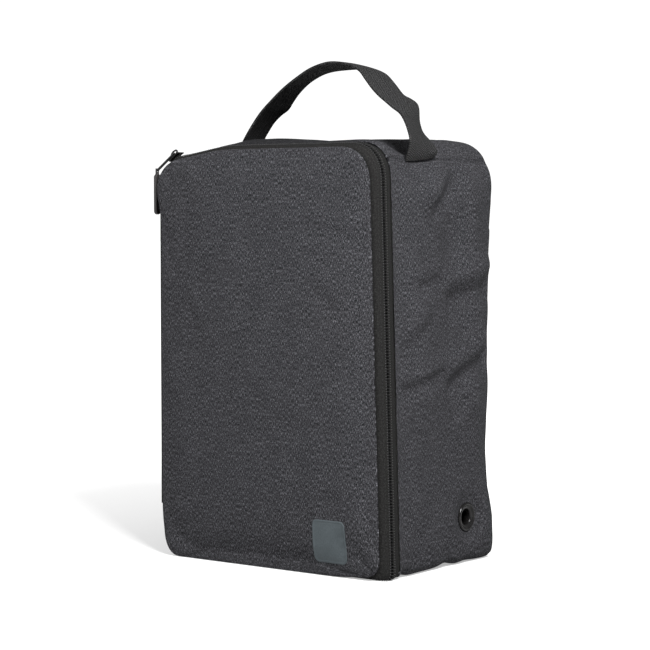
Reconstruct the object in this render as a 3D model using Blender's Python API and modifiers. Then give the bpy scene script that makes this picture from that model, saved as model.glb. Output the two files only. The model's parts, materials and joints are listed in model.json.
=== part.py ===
"""A soft box shoe bag: a zipped front door, a tub of padded fabric panels, vents and a webbing handle.

Frame: metres, +Z up, front at -Y, right side at +X, origin on the ground under the middle of the bag.
"""

from math import cos, pi, radians, sin

import bmesh
import bpy
from mathutils import Vector

# Overall size
WIDTH = 0.230
DEPTH = 0.160
HEIGHT = 0.342
LEFT = -WIDTH / 2
RIGHT = WIDTH / 2
FRONT = -DEPTH / 2
BACK = DEPTH / 2

# Corner radii of the bag seen from the front
TOP_LEFT_RADIUS = 0.030
TOP_RIGHT_RADIUS = 0.026
BOTTOM_RADIUS = 0.012
ARC_STEPS = 6  # facets in a quarter turn
PANEL_CORNER_RADIUS = 0.033  # the front panel's own top left corner

# The wall: outer fabric, foam, lining, with a gap between the layers
GAP = 0.0003
SKIN = 0.0008
FOAM = 0.0018
LINING = 0.0005
FOAM_INSET = SKIN + GAP
LINING_INSET = FOAM_INSET + FOAM + GAP
WALL = LINING_INSET + LINING
SEAM_ALLOWANCE = 0.0012  # foam and board stop this far short of a seam

# Zip: two tapes side by side, each with its coil, and a slit between them
TEETH_Y = FRONT + 0.0098
SLIT = 0.0014
TAPE = 0.0008
COIL = 0.0012
BODY_FRONT = FRONT + 0.0195  # where the body's panels begin
TAIL_TOP = 0.292  # the zip's ends run down and up the left side to here
TAIL_BOTTOM = 0.048
TAIL_CLEARANCE = 0.002
HINGE_CLEARANCE = 0.0045  # between the door's face and the left wall's front edge
DOOR_EDGE_GAP = 0.0006

# Vent eyelets
EYELET_Y = 0.0395
EYELET_Z = 0.038
EYELET_RADIUS = 0.0122
EYELET_HOLE = 0.0065
BARREL_RADIUS = 0.0074
EYELET_CUT_RADIUS = BARREL_RADIUS + GAP
WASHER_RADIUS = 0.0110
WASHER_THICKNESS = 0.0006
EYELET_RISE = 0.0014
EYELET_LIP = 0.0010
BARREL_TAIL = 0.0009  # the barrel's rolled end, past the wall
EYELET_SEGMENTS = 24

# Handle: the middle of the webbing, from the right seam over the top to the left seam
WEBBING = 0.0020
WEBBING_HALF_WIDTH = 0.015
NECK_HALF_WIDTH = 0.0025
END_HALF_WIDTH = 0.018
RIGHT_PIVOT = Vector((0.1048, -0.0198, 0.3490))
LEFT_PIVOT = Vector((-0.0885, 0.0052, 0.3485))
RIGHT_END = Vector((0.1088, -0.0203, 0.3362))
LEFT_END = Vector((-0.0990, 0.0066, 0.3408))
LOOP_ROUTE = [
    Vector((0.1024, -0.0193, 0.3578)),
    Vector((0.0982, -0.0188, 0.3692)),
    Vector((0.0885, -0.0175, 0.3800)),
    Vector((0.0720, -0.0153, 0.3925)),
    Vector((0.0500, -0.0125, 0.4040)),
    Vector((0.0180, -0.0083, 0.4105)),
    Vector((-0.0113, -0.0045, 0.4050)),
    Vector((-0.0370, -0.0012, 0.3915)),
    Vector((-0.0600, 0.0018, 0.3738)),
    Vector((-0.0760, 0.0036, 0.3580)),
]
PIVOT_TO_LOOP = 0.003
PIVOT_TO_END = 0.0015
NECK_LENGTH = 0.021

# Slider, on the arc that the zip takes round the top left corner
ARC_CENTRE = Vector((LEFT + TOP_LEFT_RADIUS, TEETH_Y, HEIGHT - TOP_LEFT_RADIUS))
SLIDER_ANGLE = radians(127)  # from +X, anticlockwise seen from the front
SLIDER_HALF_ANGLE = radians(11.5)
SLIDER_WIDTH = 0.0080
SLIDER_PLATE = 0.0010
NECK_THICKNESS = 0.0008
CROWN_WIRE = 0.0008
CROWN_RISE = 0.0034
CROWN_HALF_LENGTH = 0.0036

# Pull: a cord loop on the crown and a moulded grip hanging from it
CORD_RADIUS = 0.0006
CORD_HALF_WIDTH = 0.0020
TAB_LENGTH = 0.037
TAB_WIDTH = 0.0060
TAB_THICKNESS = 0.0028
TAB_PIVOT = Vector((-0.1245, TEETH_Y, 0.3250))
TAB_NECK_WIDTH = 0.0016  # the grip's neck stands between the cord's two strands
TAB_NECK_TOP = 0.0019
TAB_SHOULDER = 0.0026
TAB_EYE = 0.0019  # across, square

# Plain printed patch on the front panel
PATCH_WIDTH = 0.0315
PATCH_HEIGHT = 0.035
PATCH_CENTRE_X = RIGHT - 0.050
PATCH_CENTRE_Z = 0.0285
PATCH_THICKNESS = 0.0003

BOARD_THICKNESS = 0.0015
BINDING_WIDTH = 0.010
BINDING_THICKNESS = 0.0006

FABRIC = ("heather_fabric", (0.058, 0.058, 0.063, 1), 0.85, 0.0)
FOAM_SHEET = ("foam_sheet", (0.30, 0.30, 0.30, 1), 0.95, 0.0)
LINING_CLOTH = ("lining_cloth", (0.030, 0.030, 0.032, 1), 0.75, 0.0)
ZIP_TAPE = ("zip_tape", (0.022, 0.021, 0.020, 1), 0.80, 0.0)
ZIP_COIL = ("zip_coil", (0.016, 0.016, 0.016, 1), 0.40, 0.0)
WEBBING_CLOTH = ("webbing", (0.020, 0.019, 0.019, 1), 0.80, 0.0)
BLACK_METAL = ("black_metal", (0.018, 0.018, 0.018, 1), 0.35, 0.6)
GRIP_RUBBER = ("grip_rubber", (0.022, 0.019, 0.018, 1), 0.55, 0.0)
CORD = ("pull_cord", (0.018, 0.018, 0.018, 1), 0.80, 0.0)
PATCH = ("patch_print", (0.092, 0.125, 0.135, 1), 0.60, 0.0)
BOARD = ("base_board", (0.040, 0.040, 0.042, 1), 0.50, 0.0)


# ---------------------------------------------------------------- scene helpers


def clear_scene():
    for obj in list(bpy.data.objects):
        bpy.data.objects.remove(obj, do_unlink=True)


def new_collection(name):
    collection = bpy.data.collections.new(name)
    bpy.context.scene.collection.children.link(collection)
    return collection


def material(spec):
    name, colour, roughness, metallic = spec
    found = bpy.data.materials.get(name)
    if found:
        return found
    made = bpy.data.materials.new(name)
    made.use_nodes = True
    shader = made.node_tree.nodes["Principled BSDF"]
    shader.inputs["Base Color"].default_value = colour
    shader.inputs["Roughness"].default_value = roughness
    shader.inputs["Metallic"].default_value = metallic
    made.diffuse_color = colour
    return made


def add_mesh(name, bm, spec, origin=Vector((0, 0, 0)), collection=None):
    """Makes an object of bm, with its origin moved to the given point."""
    bmesh.ops.translate(bm, verts=bm.verts, vec=-origin)
    mesh = bpy.data.meshes.new(name)
    bm.to_mesh(mesh)
    bm.free()
    obj = bpy.data.objects.new(name, mesh)
    obj.location = origin
    mesh.materials.append(material(spec))
    (collection or BAG).objects.link(obj)
    return obj


def thicken(obj, thickness, offset=-1):
    """Solidify. An offset of -1 grows against the face normals, which all point outwards, and 0 both ways."""
    solid = obj.modifiers.new("thickness", "SOLIDIFY")
    solid.thickness = thickness
    solid.offset = offset
    solid.use_even_offset = True
    return obj


def smooth(obj):
    obj.data.shade_smooth()
    obj.data.set_sharp_from_angle(angle=radians(35))
    return obj


# ---------------------------------------------------------------- outlines in the XZ plane


def arc(corner_x, corner_z, radius, inset, start, end):
    """Points of a corner arc, from start to end degrees, at a depth of inset inside the bag's outline."""
    side_x = 1 if corner_x > 0 else -1
    side_z = 1 if corner_z > HEIGHT / 2 else -1
    centre_x = corner_x - side_x * radius
    centre_z = corner_z - side_z * radius
    steps = max(2, round(abs(end - start) / 90 * ARC_STEPS))
    angles = [radians(start + (end - start) * i / steps) for i in range(steps + 1)]
    reach = radius - inset
    return [(centre_x + reach * cos(a), centre_z + reach * sin(a)) for a in angles]


def top_left(inset, start, end, radius=TOP_LEFT_RADIUS):
    return arc(LEFT, HEIGHT, radius, inset, start, end)


def top_right(inset, start, end):
    return arc(RIGHT, HEIGHT, TOP_RIGHT_RADIUS, inset, start, end)


def bottom_right(inset, start, end):
    return arc(RIGHT, 0, BOTTOM_RADIUS, inset, start, end)


def bottom_left(inset, start, end):
    return arc(LEFT, 0, BOTTOM_RADIUS, inset, start, end)


def seam_angle(radius, gap):
    """Half of a seam's gap, as an angle in degrees on a corner of this radius."""
    return gap / radius / 2 * 180 / pi


def top_path(inset, gap):
    left = seam_angle(TOP_LEFT_RADIUS, gap)
    right = seam_angle(TOP_RIGHT_RADIUS, gap)
    return top_left(inset, 135 - left, 90) + top_right(inset, 90, 45 + right)


def right_path(inset, gap):
    top = seam_angle(TOP_RIGHT_RADIUS, gap)
    bottom = seam_angle(BOTTOM_RADIUS, gap)
    return top_right(inset, 45 - top, 0) + bottom_right(inset, 0, -45 + bottom)


def bottom_path(inset, gap):
    side = seam_angle(BOTTOM_RADIUS, gap)
    return bottom_right(inset, -45 - side, -90) + bottom_left(inset, -90, -135 + side)


def left_path(inset, gap):
    bottom = seam_angle(BOTTOM_RADIUS, gap)
    top = seam_angle(TOP_LEFT_RADIUS, gap)
    foot = bottom_left(inset, -135 - bottom, -180)
    stations = [(LEFT + inset, TAIL_BOTTOM + TAIL_CLEARANCE), (LEFT + inset, TAIL_TOP - TAIL_CLEARANCE)]
    return foot + stations + top_left(inset, 180, 135 + top)


def zip_path(inset):
    """The zip's route: up the left, over the top, down the right and back under the bag."""
    route = [(LEFT + inset, TAIL_TOP)]
    route += top_left(inset, 180, 90) + top_right(inset, 90, 0)
    route += bottom_right(inset, 0, -90) + bottom_left(inset, -90, -180)
    return route + [(LEFT + inset, TAIL_BOTTOM)]


def whole_outline(inset, top_left_radius=TOP_LEFT_RADIUS, left_gap=0.0):
    """The bag's closed outline, clockwise from the left, cut short by left_gap on its left side."""
    corners = top_left(inset, 180, 90, top_left_radius) + top_right(inset, 90, 0)
    corners += bottom_right(inset, 0, -90) + bottom_left(inset, -90, -180)
    return [(max(x, LEFT + inset + left_gap), z) for x, z in corners]


# ---------------------------------------------------------------- sheets that become solids


def band(name, path, y_rows, thickness, spec):
    """A strip of sheet that follows a path in XZ, clockwise seen from the front, thickened inwards."""
    bm = bmesh.new()
    rows = [[bm.verts.new((x, y, z)) for x, z in path] for y in y_rows]
    for near, far in zip(rows, rows[1:]):
        for i in range(len(path) - 1):
            bm.faces.new((near[i], near[i + 1], far[i + 1], far[i]))
    return smooth(thicken(add_mesh(name, bm, spec), thickness))


def plate(name, outline, y_outer, thickness, spec):
    """A flat sheet with this XZ outline, from y_outer towards +Y."""
    bm = bmesh.new()
    bm.faces.new([bm.verts.new((x, y_outer, z)) for x, z in outline])
    bmesh.ops.recalc_face_normals(bm, faces=bm.faces)
    if bm.faces[:][0].normal.y > 0:
        bmesh.ops.reverse_faces(bm, faces=bm.faces)
    return thicken(add_mesh(name, bm, spec), thickness)


def left_wall(name, inset, thickness, y_back, gap, spec):
    """The left side panel: between the zip's two tails it reaches forward to the door's hinge seam."""
    path = left_path(inset, gap)
    columns = [FRONT + HINGE_CLEARANCE, BODY_FRONT + gap / 2, y_back]
    low = TAIL_BOTTOM + TAIL_CLEARANCE
    high = TAIL_TOP - TAIL_CLEARANCE
    bm = bmesh.new()
    rows = [[bm.verts.new((x, y, z)) for x, z in path] for y in columns]
    for column, (near, far) in enumerate(zip(rows, rows[1:])):
        for i in range(len(path) - 1):
            inside = path[i][1] > low - GAP and path[i + 1][1] < high + GAP
            if column > 0 or inside:
                bm.faces.new((near[i], near[i + 1], far[i + 1], far[i]))
    bmesh.ops.delete(bm, geom=[v for v in bm.verts if not v.link_faces], context="VERTS")
    return smooth(thicken(add_mesh(name, bm, spec), thickness))


def tub_lining():
    """The lining: one tub, open at the front, inside the foam."""
    outline = whole_outline(LINING_INSET)
    bm = bmesh.new()
    front = [bm.verts.new((x, BODY_FRONT + GAP, z)) for x, z in outline]
    back = [bm.verts.new((x, BACK - LINING_INSET, z)) for x, z in outline]
    for i in range(len(outline)):
        j = (i + 1) % len(outline)
        bm.faces.new((front[i], front[j], back[j], back[i]))
    bm.faces.new(back)
    bmesh.ops.recalc_face_normals(bm, faces=bm.faces)
    middle = Vector((0, 0, HEIGHT / 2))
    if sum(face.normal.dot(face.calc_center_median() - middle) for face in bm.faces) < 0:
        bmesh.ops.reverse_faces(bm, faces=bm.faces)
    return smooth(thicken(add_mesh("body_lining", bm, LINING_CLOTH), LINING))


def block(name, low, high, spec, bevel=0.0):
    """A box between two corners, with its edges rounded where a bevel is given."""
    low = Vector(low)
    high = Vector(high)
    bm = bmesh.new()
    bmesh.ops.create_cube(bm, size=1)
    bmesh.ops.scale(bm, verts=bm.verts, vec=high - low)
    middle = (low + high) / 2
    bmesh.ops.translate(bm, verts=bm.verts, vec=middle)
    obj = add_mesh(name, bm, spec, middle)
    if bevel:
        edge = obj.modifiers.new("edges", "BEVEL")
        edge.width = bevel
        edge.segments = 3
    return obj


# ---------------------------------------------------------------- the body


def eyelet_cutter(name, x):
    bm = bmesh.new()
    bmesh.ops.create_cone(
        bm, cap_ends=True, segments=EYELET_SEGMENTS, radius1=EYELET_CUT_RADIUS,
        radius2=EYELET_CUT_RADIUS, depth=0.03,
    )
    cutter = add_mesh(name, bm, BLACK_METAL, collection=CUTTERS)
    cutter.rotation_euler = (0, pi / 2, 0)
    cutter.location = (x, EYELET_Y, EYELET_Z)
    cutter.hide_render = True
    cutter.display_type = "WIRE"
    return cutter


def cut(obj, *cutters):
    for cutter in cutters:
        boolean = obj.modifiers.new(cutter.name, "BOOLEAN")
        boolean.operation = "DIFFERENCE"
        boolean.object = cutter
    return obj


def make_walls(left_cutter, right_cutter):
    y_back = BACK - FOAM_INSET
    rows = [BODY_FRONT + GAP / 2, y_back]
    band("top_panel", top_path(0, GAP), rows, SKIN, FABRIC)
    cut(band("right_side_panel", right_path(0, GAP), rows, SKIN, FABRIC), right_cutter)
    band("bottom_panel", bottom_path(0, GAP), rows, SKIN, FABRIC)
    cut(left_wall("left_side_panel", 0, SKIN, y_back, GAP, FABRIC), left_cutter)

    rows = [BODY_FRONT + SEAM_ALLOWANCE, BACK - LINING_INSET - GAP]
    band("top_foam", top_path(FOAM_INSET, SEAM_ALLOWANCE), rows, FOAM, FOAM_SHEET)
    cut(band("right_side_foam", right_path(FOAM_INSET, SEAM_ALLOWANCE), rows, FOAM, FOAM_SHEET), right_cutter)
    band("bottom_foam", bottom_path(FOAM_INSET, SEAM_ALLOWANCE), rows, FOAM, FOAM_SHEET)
    cut(
        left_wall("left_side_foam", FOAM_INSET, FOAM, rows[-1], SEAM_ALLOWANCE, FOAM_SHEET),
        left_cutter,
    )

    plate("back_panel", whole_outline(0), BACK - SKIN, SKIN, FABRIC)
    plate("back_foam", whole_outline(LINING_INSET), BACK - LINING_INSET + GAP, FOAM, FOAM_SHEET)
    cut(tub_lining(), left_cutter, right_cutter)


def make_base_board():
    side = BOTTOM_RADIUS
    low = (LEFT + side, BODY_FRONT + SEAM_ALLOWANCE, WALL + GAP)
    high = (RIGHT - side, BACK - WALL - GAP, WALL + GAP + BOARD_THICKNESS)
    block("base_board", low, high, BOARD)


def make_rear_binding():
    """Binding tape folded over the raw edges of the seam between the tub and the back panel."""
    inset = WALL + GAP
    outline = whole_outline(inset)
    closed = outline + outline[:1]
    y_end = BACK - WALL - GAP
    clear_of_board = [(x, z) for x, z in closed if z > 2 * BOTTOM_RADIUS]
    path = [(LEFT + inset, 2 * BOTTOM_RADIUS)] + clear_of_board[:-1] + [(RIGHT - inset, 2 * BOTTOM_RADIUS)]
    band("rear_seam_binding", path, [y_end - BINDING_WIDTH, y_end], BINDING_THICKNESS, LINING_CLOTH)


def ring(name, profile, x_sign, spec):
    """A turned ring on the eyelet's axis. The profile is (radius, distance outwards) pairs, outside to inside."""
    bm = bmesh.new()
    verts = [bm.verts.new((radius, 0, out)) for radius, out in profile]
    for i, vert in enumerate(verts):
        bm.edges.new((vert, verts[(i + 1) % len(verts)]))
    obj = add_mesh(name, bm, spec)
    screw = obj.modifiers.new("turn", "SCREW")
    screw.steps = EYELET_SEGMENTS
    screw.render_steps = EYELET_SEGMENTS
    screw.use_merge_vertices = True
    screw.merge_threshold = 0.00005
    obj.rotation_euler = (0, x_sign * pi / 2, 0)
    obj.location = (x_sign * RIGHT, EYELET_Y, EYELET_Z)
    return smooth(obj)


def make_eyelet(side, x_sign):
    flange = GAP
    face = flange + EYELET_RISE
    inner_end = -(WALL + BARREL_TAIL)
    profile = [
        (EYELET_RADIUS - EYELET_LIP, face),
        (EYELET_RADIUS, face - EYELET_LIP),
        (EYELET_RADIUS, flange),
        (BARREL_RADIUS, flange),
        (BARREL_RADIUS, inner_end),
        (EYELET_HOLE, inner_end),
        (EYELET_HOLE, face - EYELET_LIP),
        (EYELET_HOLE + EYELET_LIP, face),
    ]
    ring(f"{side}_eyelet", profile, x_sign, BLACK_METAL)
    near = -(WALL + GAP)
    washer = [
        (WASHER_RADIUS, near),
        (WASHER_RADIUS, near - WASHER_THICKNESS),
        (EYELET_CUT_RADIUS, near - WASHER_THICKNESS),
        (EYELET_CUT_RADIUS, near),
    ]
    ring(f"{side}_eyelet_washer", washer, x_sign, BLACK_METAL)


# ---------------------------------------------------------------- the zip and the door


def make_zip():
    slit_low = TEETH_Y - SLIT / 2
    slit_high = TEETH_Y + SLIT / 2
    door_front = FRONT + SKIN + GAP
    band("door_zip_tape", zip_path(0), [door_front, slit_low], TAPE, ZIP_TAPE)
    band("body_zip_tape", zip_path(0), [slit_high, BODY_FRONT - GAP / 2], TAPE, ZIP_TAPE)
    under = TAPE + GAP
    band("door_zip_coil", zip_path(under), [slit_low - COIL, slit_low], COIL, ZIP_COIL)
    band("body_zip_coil", zip_path(under), [slit_high, slit_high + COIL], COIL, ZIP_COIL)


def make_door():
    face = whole_outline(0, PANEL_CORNER_RADIUS, DOOR_EDGE_GAP)
    plate("front_panel", face, FRONT, SKIN, FABRIC)
    inner = TAPE + GAP + COIL + GAP
    foam = whole_outline(inner, PANEL_CORNER_RADIUS)
    plate("front_foam", foam, FRONT + FOAM_INSET, FOAM, FOAM_SHEET)
    lining = whole_outline(inner, PANEL_CORNER_RADIUS)
    plate("front_lining", lining, FRONT + LINING_INSET, LINING, LINING_CLOTH)
    path = zip_path(TAPE + GAP)[1:-1]
    rows = [FRONT + WALL + GAP, TEETH_Y - SLIT / 2 - COIL - GAP]
    band("front_seam_binding", path, rows, BINDING_THICKNESS, LINING_CLOTH)
    patch = [
        (PATCH_CENTRE_X + sx * PATCH_WIDTH / 2, PATCH_CENTRE_Z + sz * PATCH_HEIGHT / 2)
        for sx, sz in ((-1, -1), (1, -1), (1, 1), (-1, 1))
    ]
    plate("front_patch", patch, FRONT - GAP - PATCH_THICKNESS, PATCH_THICKNESS, PATCH)


# ---------------------------------------------------------------- the slider and its pull


def on_arc(angle, radius, y):
    return Vector((ARC_CENTRE.x + radius * cos(angle), y, ARC_CENTRE.z + radius * sin(angle)))


def curved_block(bm, r_low, r_high, y_low, y_high, half_angle, steps):
    """A block bent round the arc's centre: every section between the two radii is the same rectangle."""
    sections = []
    for i in range(steps + 1):
        angle = SLIDER_ANGLE + half_angle * (2 * i / steps - 1)
        corners = ((r_low, y_low), (r_high, y_low), (r_high, y_high), (r_low, y_high))
        sections.append([bm.verts.new(on_arc(angle, r, y)) for r, y in corners])
    for near, far in zip(sections, sections[1:]):
        for i in range(4):
            j = (i + 1) % 4
            bm.faces.new((near[i], near[j], far[j], far[i]))
    bm.faces.new(sections[0])
    bm.faces.new(sections[-1])


def slider_block(name, r_low, r_high, y_low, y_high, half_angle, steps):
    bm = bmesh.new()
    curved_block(bm, r_low, r_high, y_low, y_high, half_angle, steps)
    bmesh.ops.recalc_face_normals(bm, faces=bm.faces)
    return add_mesh(name, bm, BLACK_METAL, ARC_CENTRE)


def make_slider():
    outer = TOP_LEFT_RADIUS + GAP
    inner = TOP_LEFT_RADIUS - (TAPE + GAP + COIL + GAP)
    neck_low = TEETH_Y - NECK_THICKNESS / 2
    neck_high = TEETH_Y + NECK_THICKNESS / 2
    half_width = SLIDER_WIDTH / 2
    body = slider_block(
        "slider_body", outer, outer + SLIDER_PLATE,
        TEETH_Y - half_width, TEETH_Y + half_width, SLIDER_HALF_ANGLE, 6,
    )
    helpers = [
        ("slider_neck", inner - SLIDER_PLATE / 2, outer + SLIDER_PLATE / 2, neck_low, neck_high),
        ("slider_wing", inner - SLIDER_PLATE, inner, neck_low, TEETH_Y + half_width),
    ]
    for name, r_low, r_high, y_low, y_high in helpers:
        helper = slider_block(name, r_low, r_high, y_low, y_high, SLIDER_HALF_ANGLE * 0.8, 6)
        BAG.objects.unlink(helper)
        CUTTERS.objects.link(helper)
        helper.hide_render = True
        helper.display_type = "WIRE"
        union = body.modifiers.new(name, "BOOLEAN")
        union.operation = "UNION"
        union.object = helper
    return body


def tube(name, points, radius, spec, cyclic=False, resolution=2):
    """A round bar along these points, as a POLY curve with filled ends."""
    curve = bpy.data.curves.new(name, "CURVE")
    curve.dimensions = "3D"
    curve.bevel_depth = radius
    curve.bevel_resolution = resolution
    curve.use_fill_caps = not cyclic
    spline = curve.splines.new("POLY")
    spline.points.add(len(points) - 1)
    for point, place in zip(spline.points, points):
        point.co = (*place, 1)
    spline.use_cyclic_u = cyclic
    curve.materials.append(material(spec))
    obj = bpy.data.objects.new(name, curve)
    BAG.objects.link(obj)
    return obj


def crown_point(along, rise):
    """A point over the slider's plate: along its travel, and that high above the plate."""
    base = TOP_LEFT_RADIUS + GAP + SLIDER_PLATE + GAP + CROWN_WIRE
    radial = Vector((cos(SLIDER_ANGLE), 0, sin(SLIDER_ANGLE)))
    tangent = Vector((-sin(SLIDER_ANGLE), 0, cos(SLIDER_ANGLE)))
    return ARC_CENTRE + radial * (base + rise) + tangent * along


def make_crown():
    """The bridge on the slider: a low closed loop, standing along the zip."""
    steps = 16
    points = []
    for i in range(steps):
        angle = 2 * pi * i / steps
        points.append(crown_point(CROWN_HALF_LENGTH * cos(angle), CROWN_RISE / 2 * (1 + sin(angle))))
    tube("slider_crown", points, CROWN_WIRE, BLACK_METAL, cyclic=True)


def pull_hole():
    """The middle of the crown's window, where the cord hangs."""
    return crown_point(0, CROWN_RISE / 2)


def make_pull():
    """The cord: a narrow loop through the crown and through the grip's eye."""
    top = pull_hole()
    along = (TAB_PIVOT - top).normalized()
    length = (TAB_PIVOT - top).length
    across = Vector((0, 1, 0))
    ends = (
        (top + along * CORD_HALF_WIDTH, pi / 2),
        (top + along * (length - CORD_HALF_WIDTH), -pi / 2),
    )
    steps = 8
    points = []
    for centre, start in ends:
        for i in range(steps + 1):
            angle = start + pi * i / steps
            points.append(centre + (along * cos(angle) + across * sin(angle)) * CORD_HALF_WIDTH)
    tube("pull_cord_loop", points, CORD_RADIUS, CORD, cyclic=True)


def make_tab():
    """The moulded grip: a flat bar with a rounded foot, and a narrow neck with an eye for the cord."""
    half = TAB_WIDTH / 2
    neck = TAB_NECK_WIDTH / 2
    shoulder_z = TAB_PIVOT.z - TAB_SHOULDER
    foot_z = TAB_PIVOT.z - TAB_LENGTH
    outline = [(neck, shoulder_z), (neck, TAB_PIVOT.z + TAB_NECK_TOP)]
    outline += [(-y, z) for y, z in reversed(outline)]
    outline.append((-half, shoulder_z - (half - neck)))
    steps = 6
    for i in range(steps + 1):
        angle = pi * i / steps
        outline.append((-half * cos(angle), foot_z + half - half * sin(angle)))
    outline.append((half, shoulder_z - (half - neck)))
    bm = bmesh.new()
    x_face = TAB_PIVOT.x - TAB_THICKNESS / 2
    bm.faces.new([bm.verts.new((x_face, TEETH_Y + y, z)) for y, z in outline])
    bmesh.ops.recalc_face_normals(bm, faces=bm.faces)
    if bm.faces[:][0].normal.x > 0:
        bmesh.ops.reverse_faces(bm, faces=bm.faces)
    tab = thicken(add_mesh("pull_tab", bm, GRIP_RUBBER, TAB_PIVOT), TAB_THICKNESS)
    return cut(tab, tab_eye())


def tab_eye():
    """The eye across the grip's neck that the cord's loop passes through."""
    reach = Vector((TAB_EYE / 2, TAB_WIDTH, TAB_EYE / 2))
    eye = block("tab_eye", TAB_PIVOT - reach, TAB_PIVOT + reach, GRIP_RUBBER)
    BAG.objects.unlink(eye)
    CUTTERS.objects.link(eye)
    eye.hide_render = True
    eye.display_type = "WIRE"
    return eye


# ---------------------------------------------------------------- the handle


def smooth_route(points, per_span):
    """Points on a Catmull-Rom curve through these points."""
    padded = [2 * points[0] - points[1]] + points + [2 * points[-1] - points[-2]]
    route = []
    for a, b, c, d in zip(padded, padded[1:], padded[2:], padded[3:]):
        for i in range(per_span):
            t = i / per_span
            pull = (c - a) * t + (2 * a - 5 * b + 4 * c - d) * t**2 + (3 * b - a - 3 * c + d) * t**3
            route.append(b + pull / 2)
    return route + [points[-1]]


def webbing(name, route, half_widths, across, origin):
    """A flat strap along a route, with its width along across."""
    bm = bmesh.new()
    pairs = [
        (bm.verts.new(point - across * half), bm.verts.new(point + across * half))
        for point, half in zip(route, half_widths)
    ]
    for (a, b), (c, d) in zip(pairs, pairs[1:]):
        bm.faces.new((a, b, d, c))
    bmesh.ops.recalc_face_normals(bm, faces=bm.faces)
    return smooth(thicken(add_mesh(name, bm, WEBBING_CLOTH, origin), WEBBING, 0))


def make_handle():
    axis = (RIGHT_PIVOT - LEFT_PIVOT).normalized()
    across = axis.cross(Vector((0, 0, 1))).normalized()
    first = RIGHT_PIVOT + (LOOP_ROUTE[0] - RIGHT_PIVOT).normalized() * PIVOT_TO_LOOP
    last = LEFT_PIVOT + (LOOP_ROUTE[-1] - LEFT_PIVOT).normalized() * PIVOT_TO_LOOP
    route = smooth_route([first] + LOOP_ROUTE + [last], 4)
    lengths = [0.0]
    for a, b in zip(route, route[1:]):
        lengths.append(lengths[-1] + (b - a).length)
    widths = []
    for along in lengths:
        from_end = min(along, lengths[-1] - along)
        share = min(1.0, from_end / NECK_LENGTH)
        widths.append(NECK_HALF_WIDTH + (WEBBING_HALF_WIDTH - NECK_HALF_WIDTH) * share)
    webbing("handle_webbing", route, widths, across, (RIGHT_PIVOT + LEFT_PIVOT) / 2)
    for side, end, pivot in (("right", RIGHT_END, RIGHT_PIVOT), ("left", LEFT_END, LEFT_PIVOT)):
        stop = pivot + (end - pivot).normalized() * PIVOT_TO_END
        taper = [END_HALF_WIDTH, END_HALF_WIDTH * 0.8]
        webbing(f"handle_end_{side}", [end, stop], taper, across, pivot)


BAG = None
CUTTERS = None


def main():
    global BAG, CUTTERS
    clear_scene()
    BAG = new_collection("shoe_bag")
    CUTTERS = new_collection("cutters")
    left_cutter = eyelet_cutter("left_vent_hole", LEFT)
    right_cutter = eyelet_cutter("right_vent_hole", RIGHT)
    make_walls(left_cutter, right_cutter)
    make_base_board()
    make_rear_binding()
    make_eyelet("right", 1)
    make_eyelet("left", -1)
    make_zip()
    make_door()
    make_slider()
    make_crown()
    make_pull()
    make_tab()
    make_handle()


main()
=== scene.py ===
"""Looks of the shoe bag: heathered cloth, a coil zip, webbing handle, eyelets and pull, round the frame."""

import json
from contextlib import contextmanager
from math import cos, hypot, pi, radians, sin

import bmesh
import bpy
import numpy as np
from mathutils import Matrix, Vector, noise
from mathutils.bvhtree import BVHTree

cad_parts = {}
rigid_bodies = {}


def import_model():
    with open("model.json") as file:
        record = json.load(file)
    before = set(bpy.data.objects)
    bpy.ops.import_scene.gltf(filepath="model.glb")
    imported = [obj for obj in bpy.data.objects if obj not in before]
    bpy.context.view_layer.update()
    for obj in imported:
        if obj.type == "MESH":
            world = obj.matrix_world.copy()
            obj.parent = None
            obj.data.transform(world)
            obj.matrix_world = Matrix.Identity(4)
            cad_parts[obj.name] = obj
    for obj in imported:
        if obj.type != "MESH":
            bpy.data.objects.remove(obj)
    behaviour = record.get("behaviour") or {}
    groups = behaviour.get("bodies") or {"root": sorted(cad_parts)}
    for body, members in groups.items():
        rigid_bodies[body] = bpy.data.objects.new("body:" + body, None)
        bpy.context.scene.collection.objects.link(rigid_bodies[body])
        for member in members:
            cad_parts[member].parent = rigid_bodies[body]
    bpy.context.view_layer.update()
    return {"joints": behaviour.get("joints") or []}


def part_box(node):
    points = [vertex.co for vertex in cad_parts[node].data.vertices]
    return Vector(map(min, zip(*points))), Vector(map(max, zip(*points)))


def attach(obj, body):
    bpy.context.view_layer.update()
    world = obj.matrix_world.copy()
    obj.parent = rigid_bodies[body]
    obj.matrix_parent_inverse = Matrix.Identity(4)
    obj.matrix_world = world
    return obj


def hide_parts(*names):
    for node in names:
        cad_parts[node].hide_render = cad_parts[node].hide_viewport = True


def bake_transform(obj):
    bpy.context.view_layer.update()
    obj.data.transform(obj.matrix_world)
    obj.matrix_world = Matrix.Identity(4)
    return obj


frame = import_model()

# ---------------------------------------------------------------- places read from the frame

JOINTS = {joint["name"]: joint for joint in frame["joints"]}
SHELL_LOW, SHELL_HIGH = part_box("back_panel")
LEFT, RIGHT = SHELL_LOW.x, SHELL_HIGH.x
HEIGHT = SHELL_HIGH.z
BACK = SHELL_HIGH.y
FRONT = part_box("front_panel")[0].y
BODY_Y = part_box("top_panel")[0].y
TEETH_Y = (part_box("door_zip_tape")[1].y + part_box("body_zip_tape")[0].y) / 2 + 0.0014
HINGE = Vector(JOINTS["door_swing"]["pos_m"])
# the zip's two ends on the left, with the hinge seam between them
TAIL_TOP = 0.292
TAIL_BOTTOM = 0.048

# ---------------------------------------------------------------- sizes of the soft shape

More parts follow.
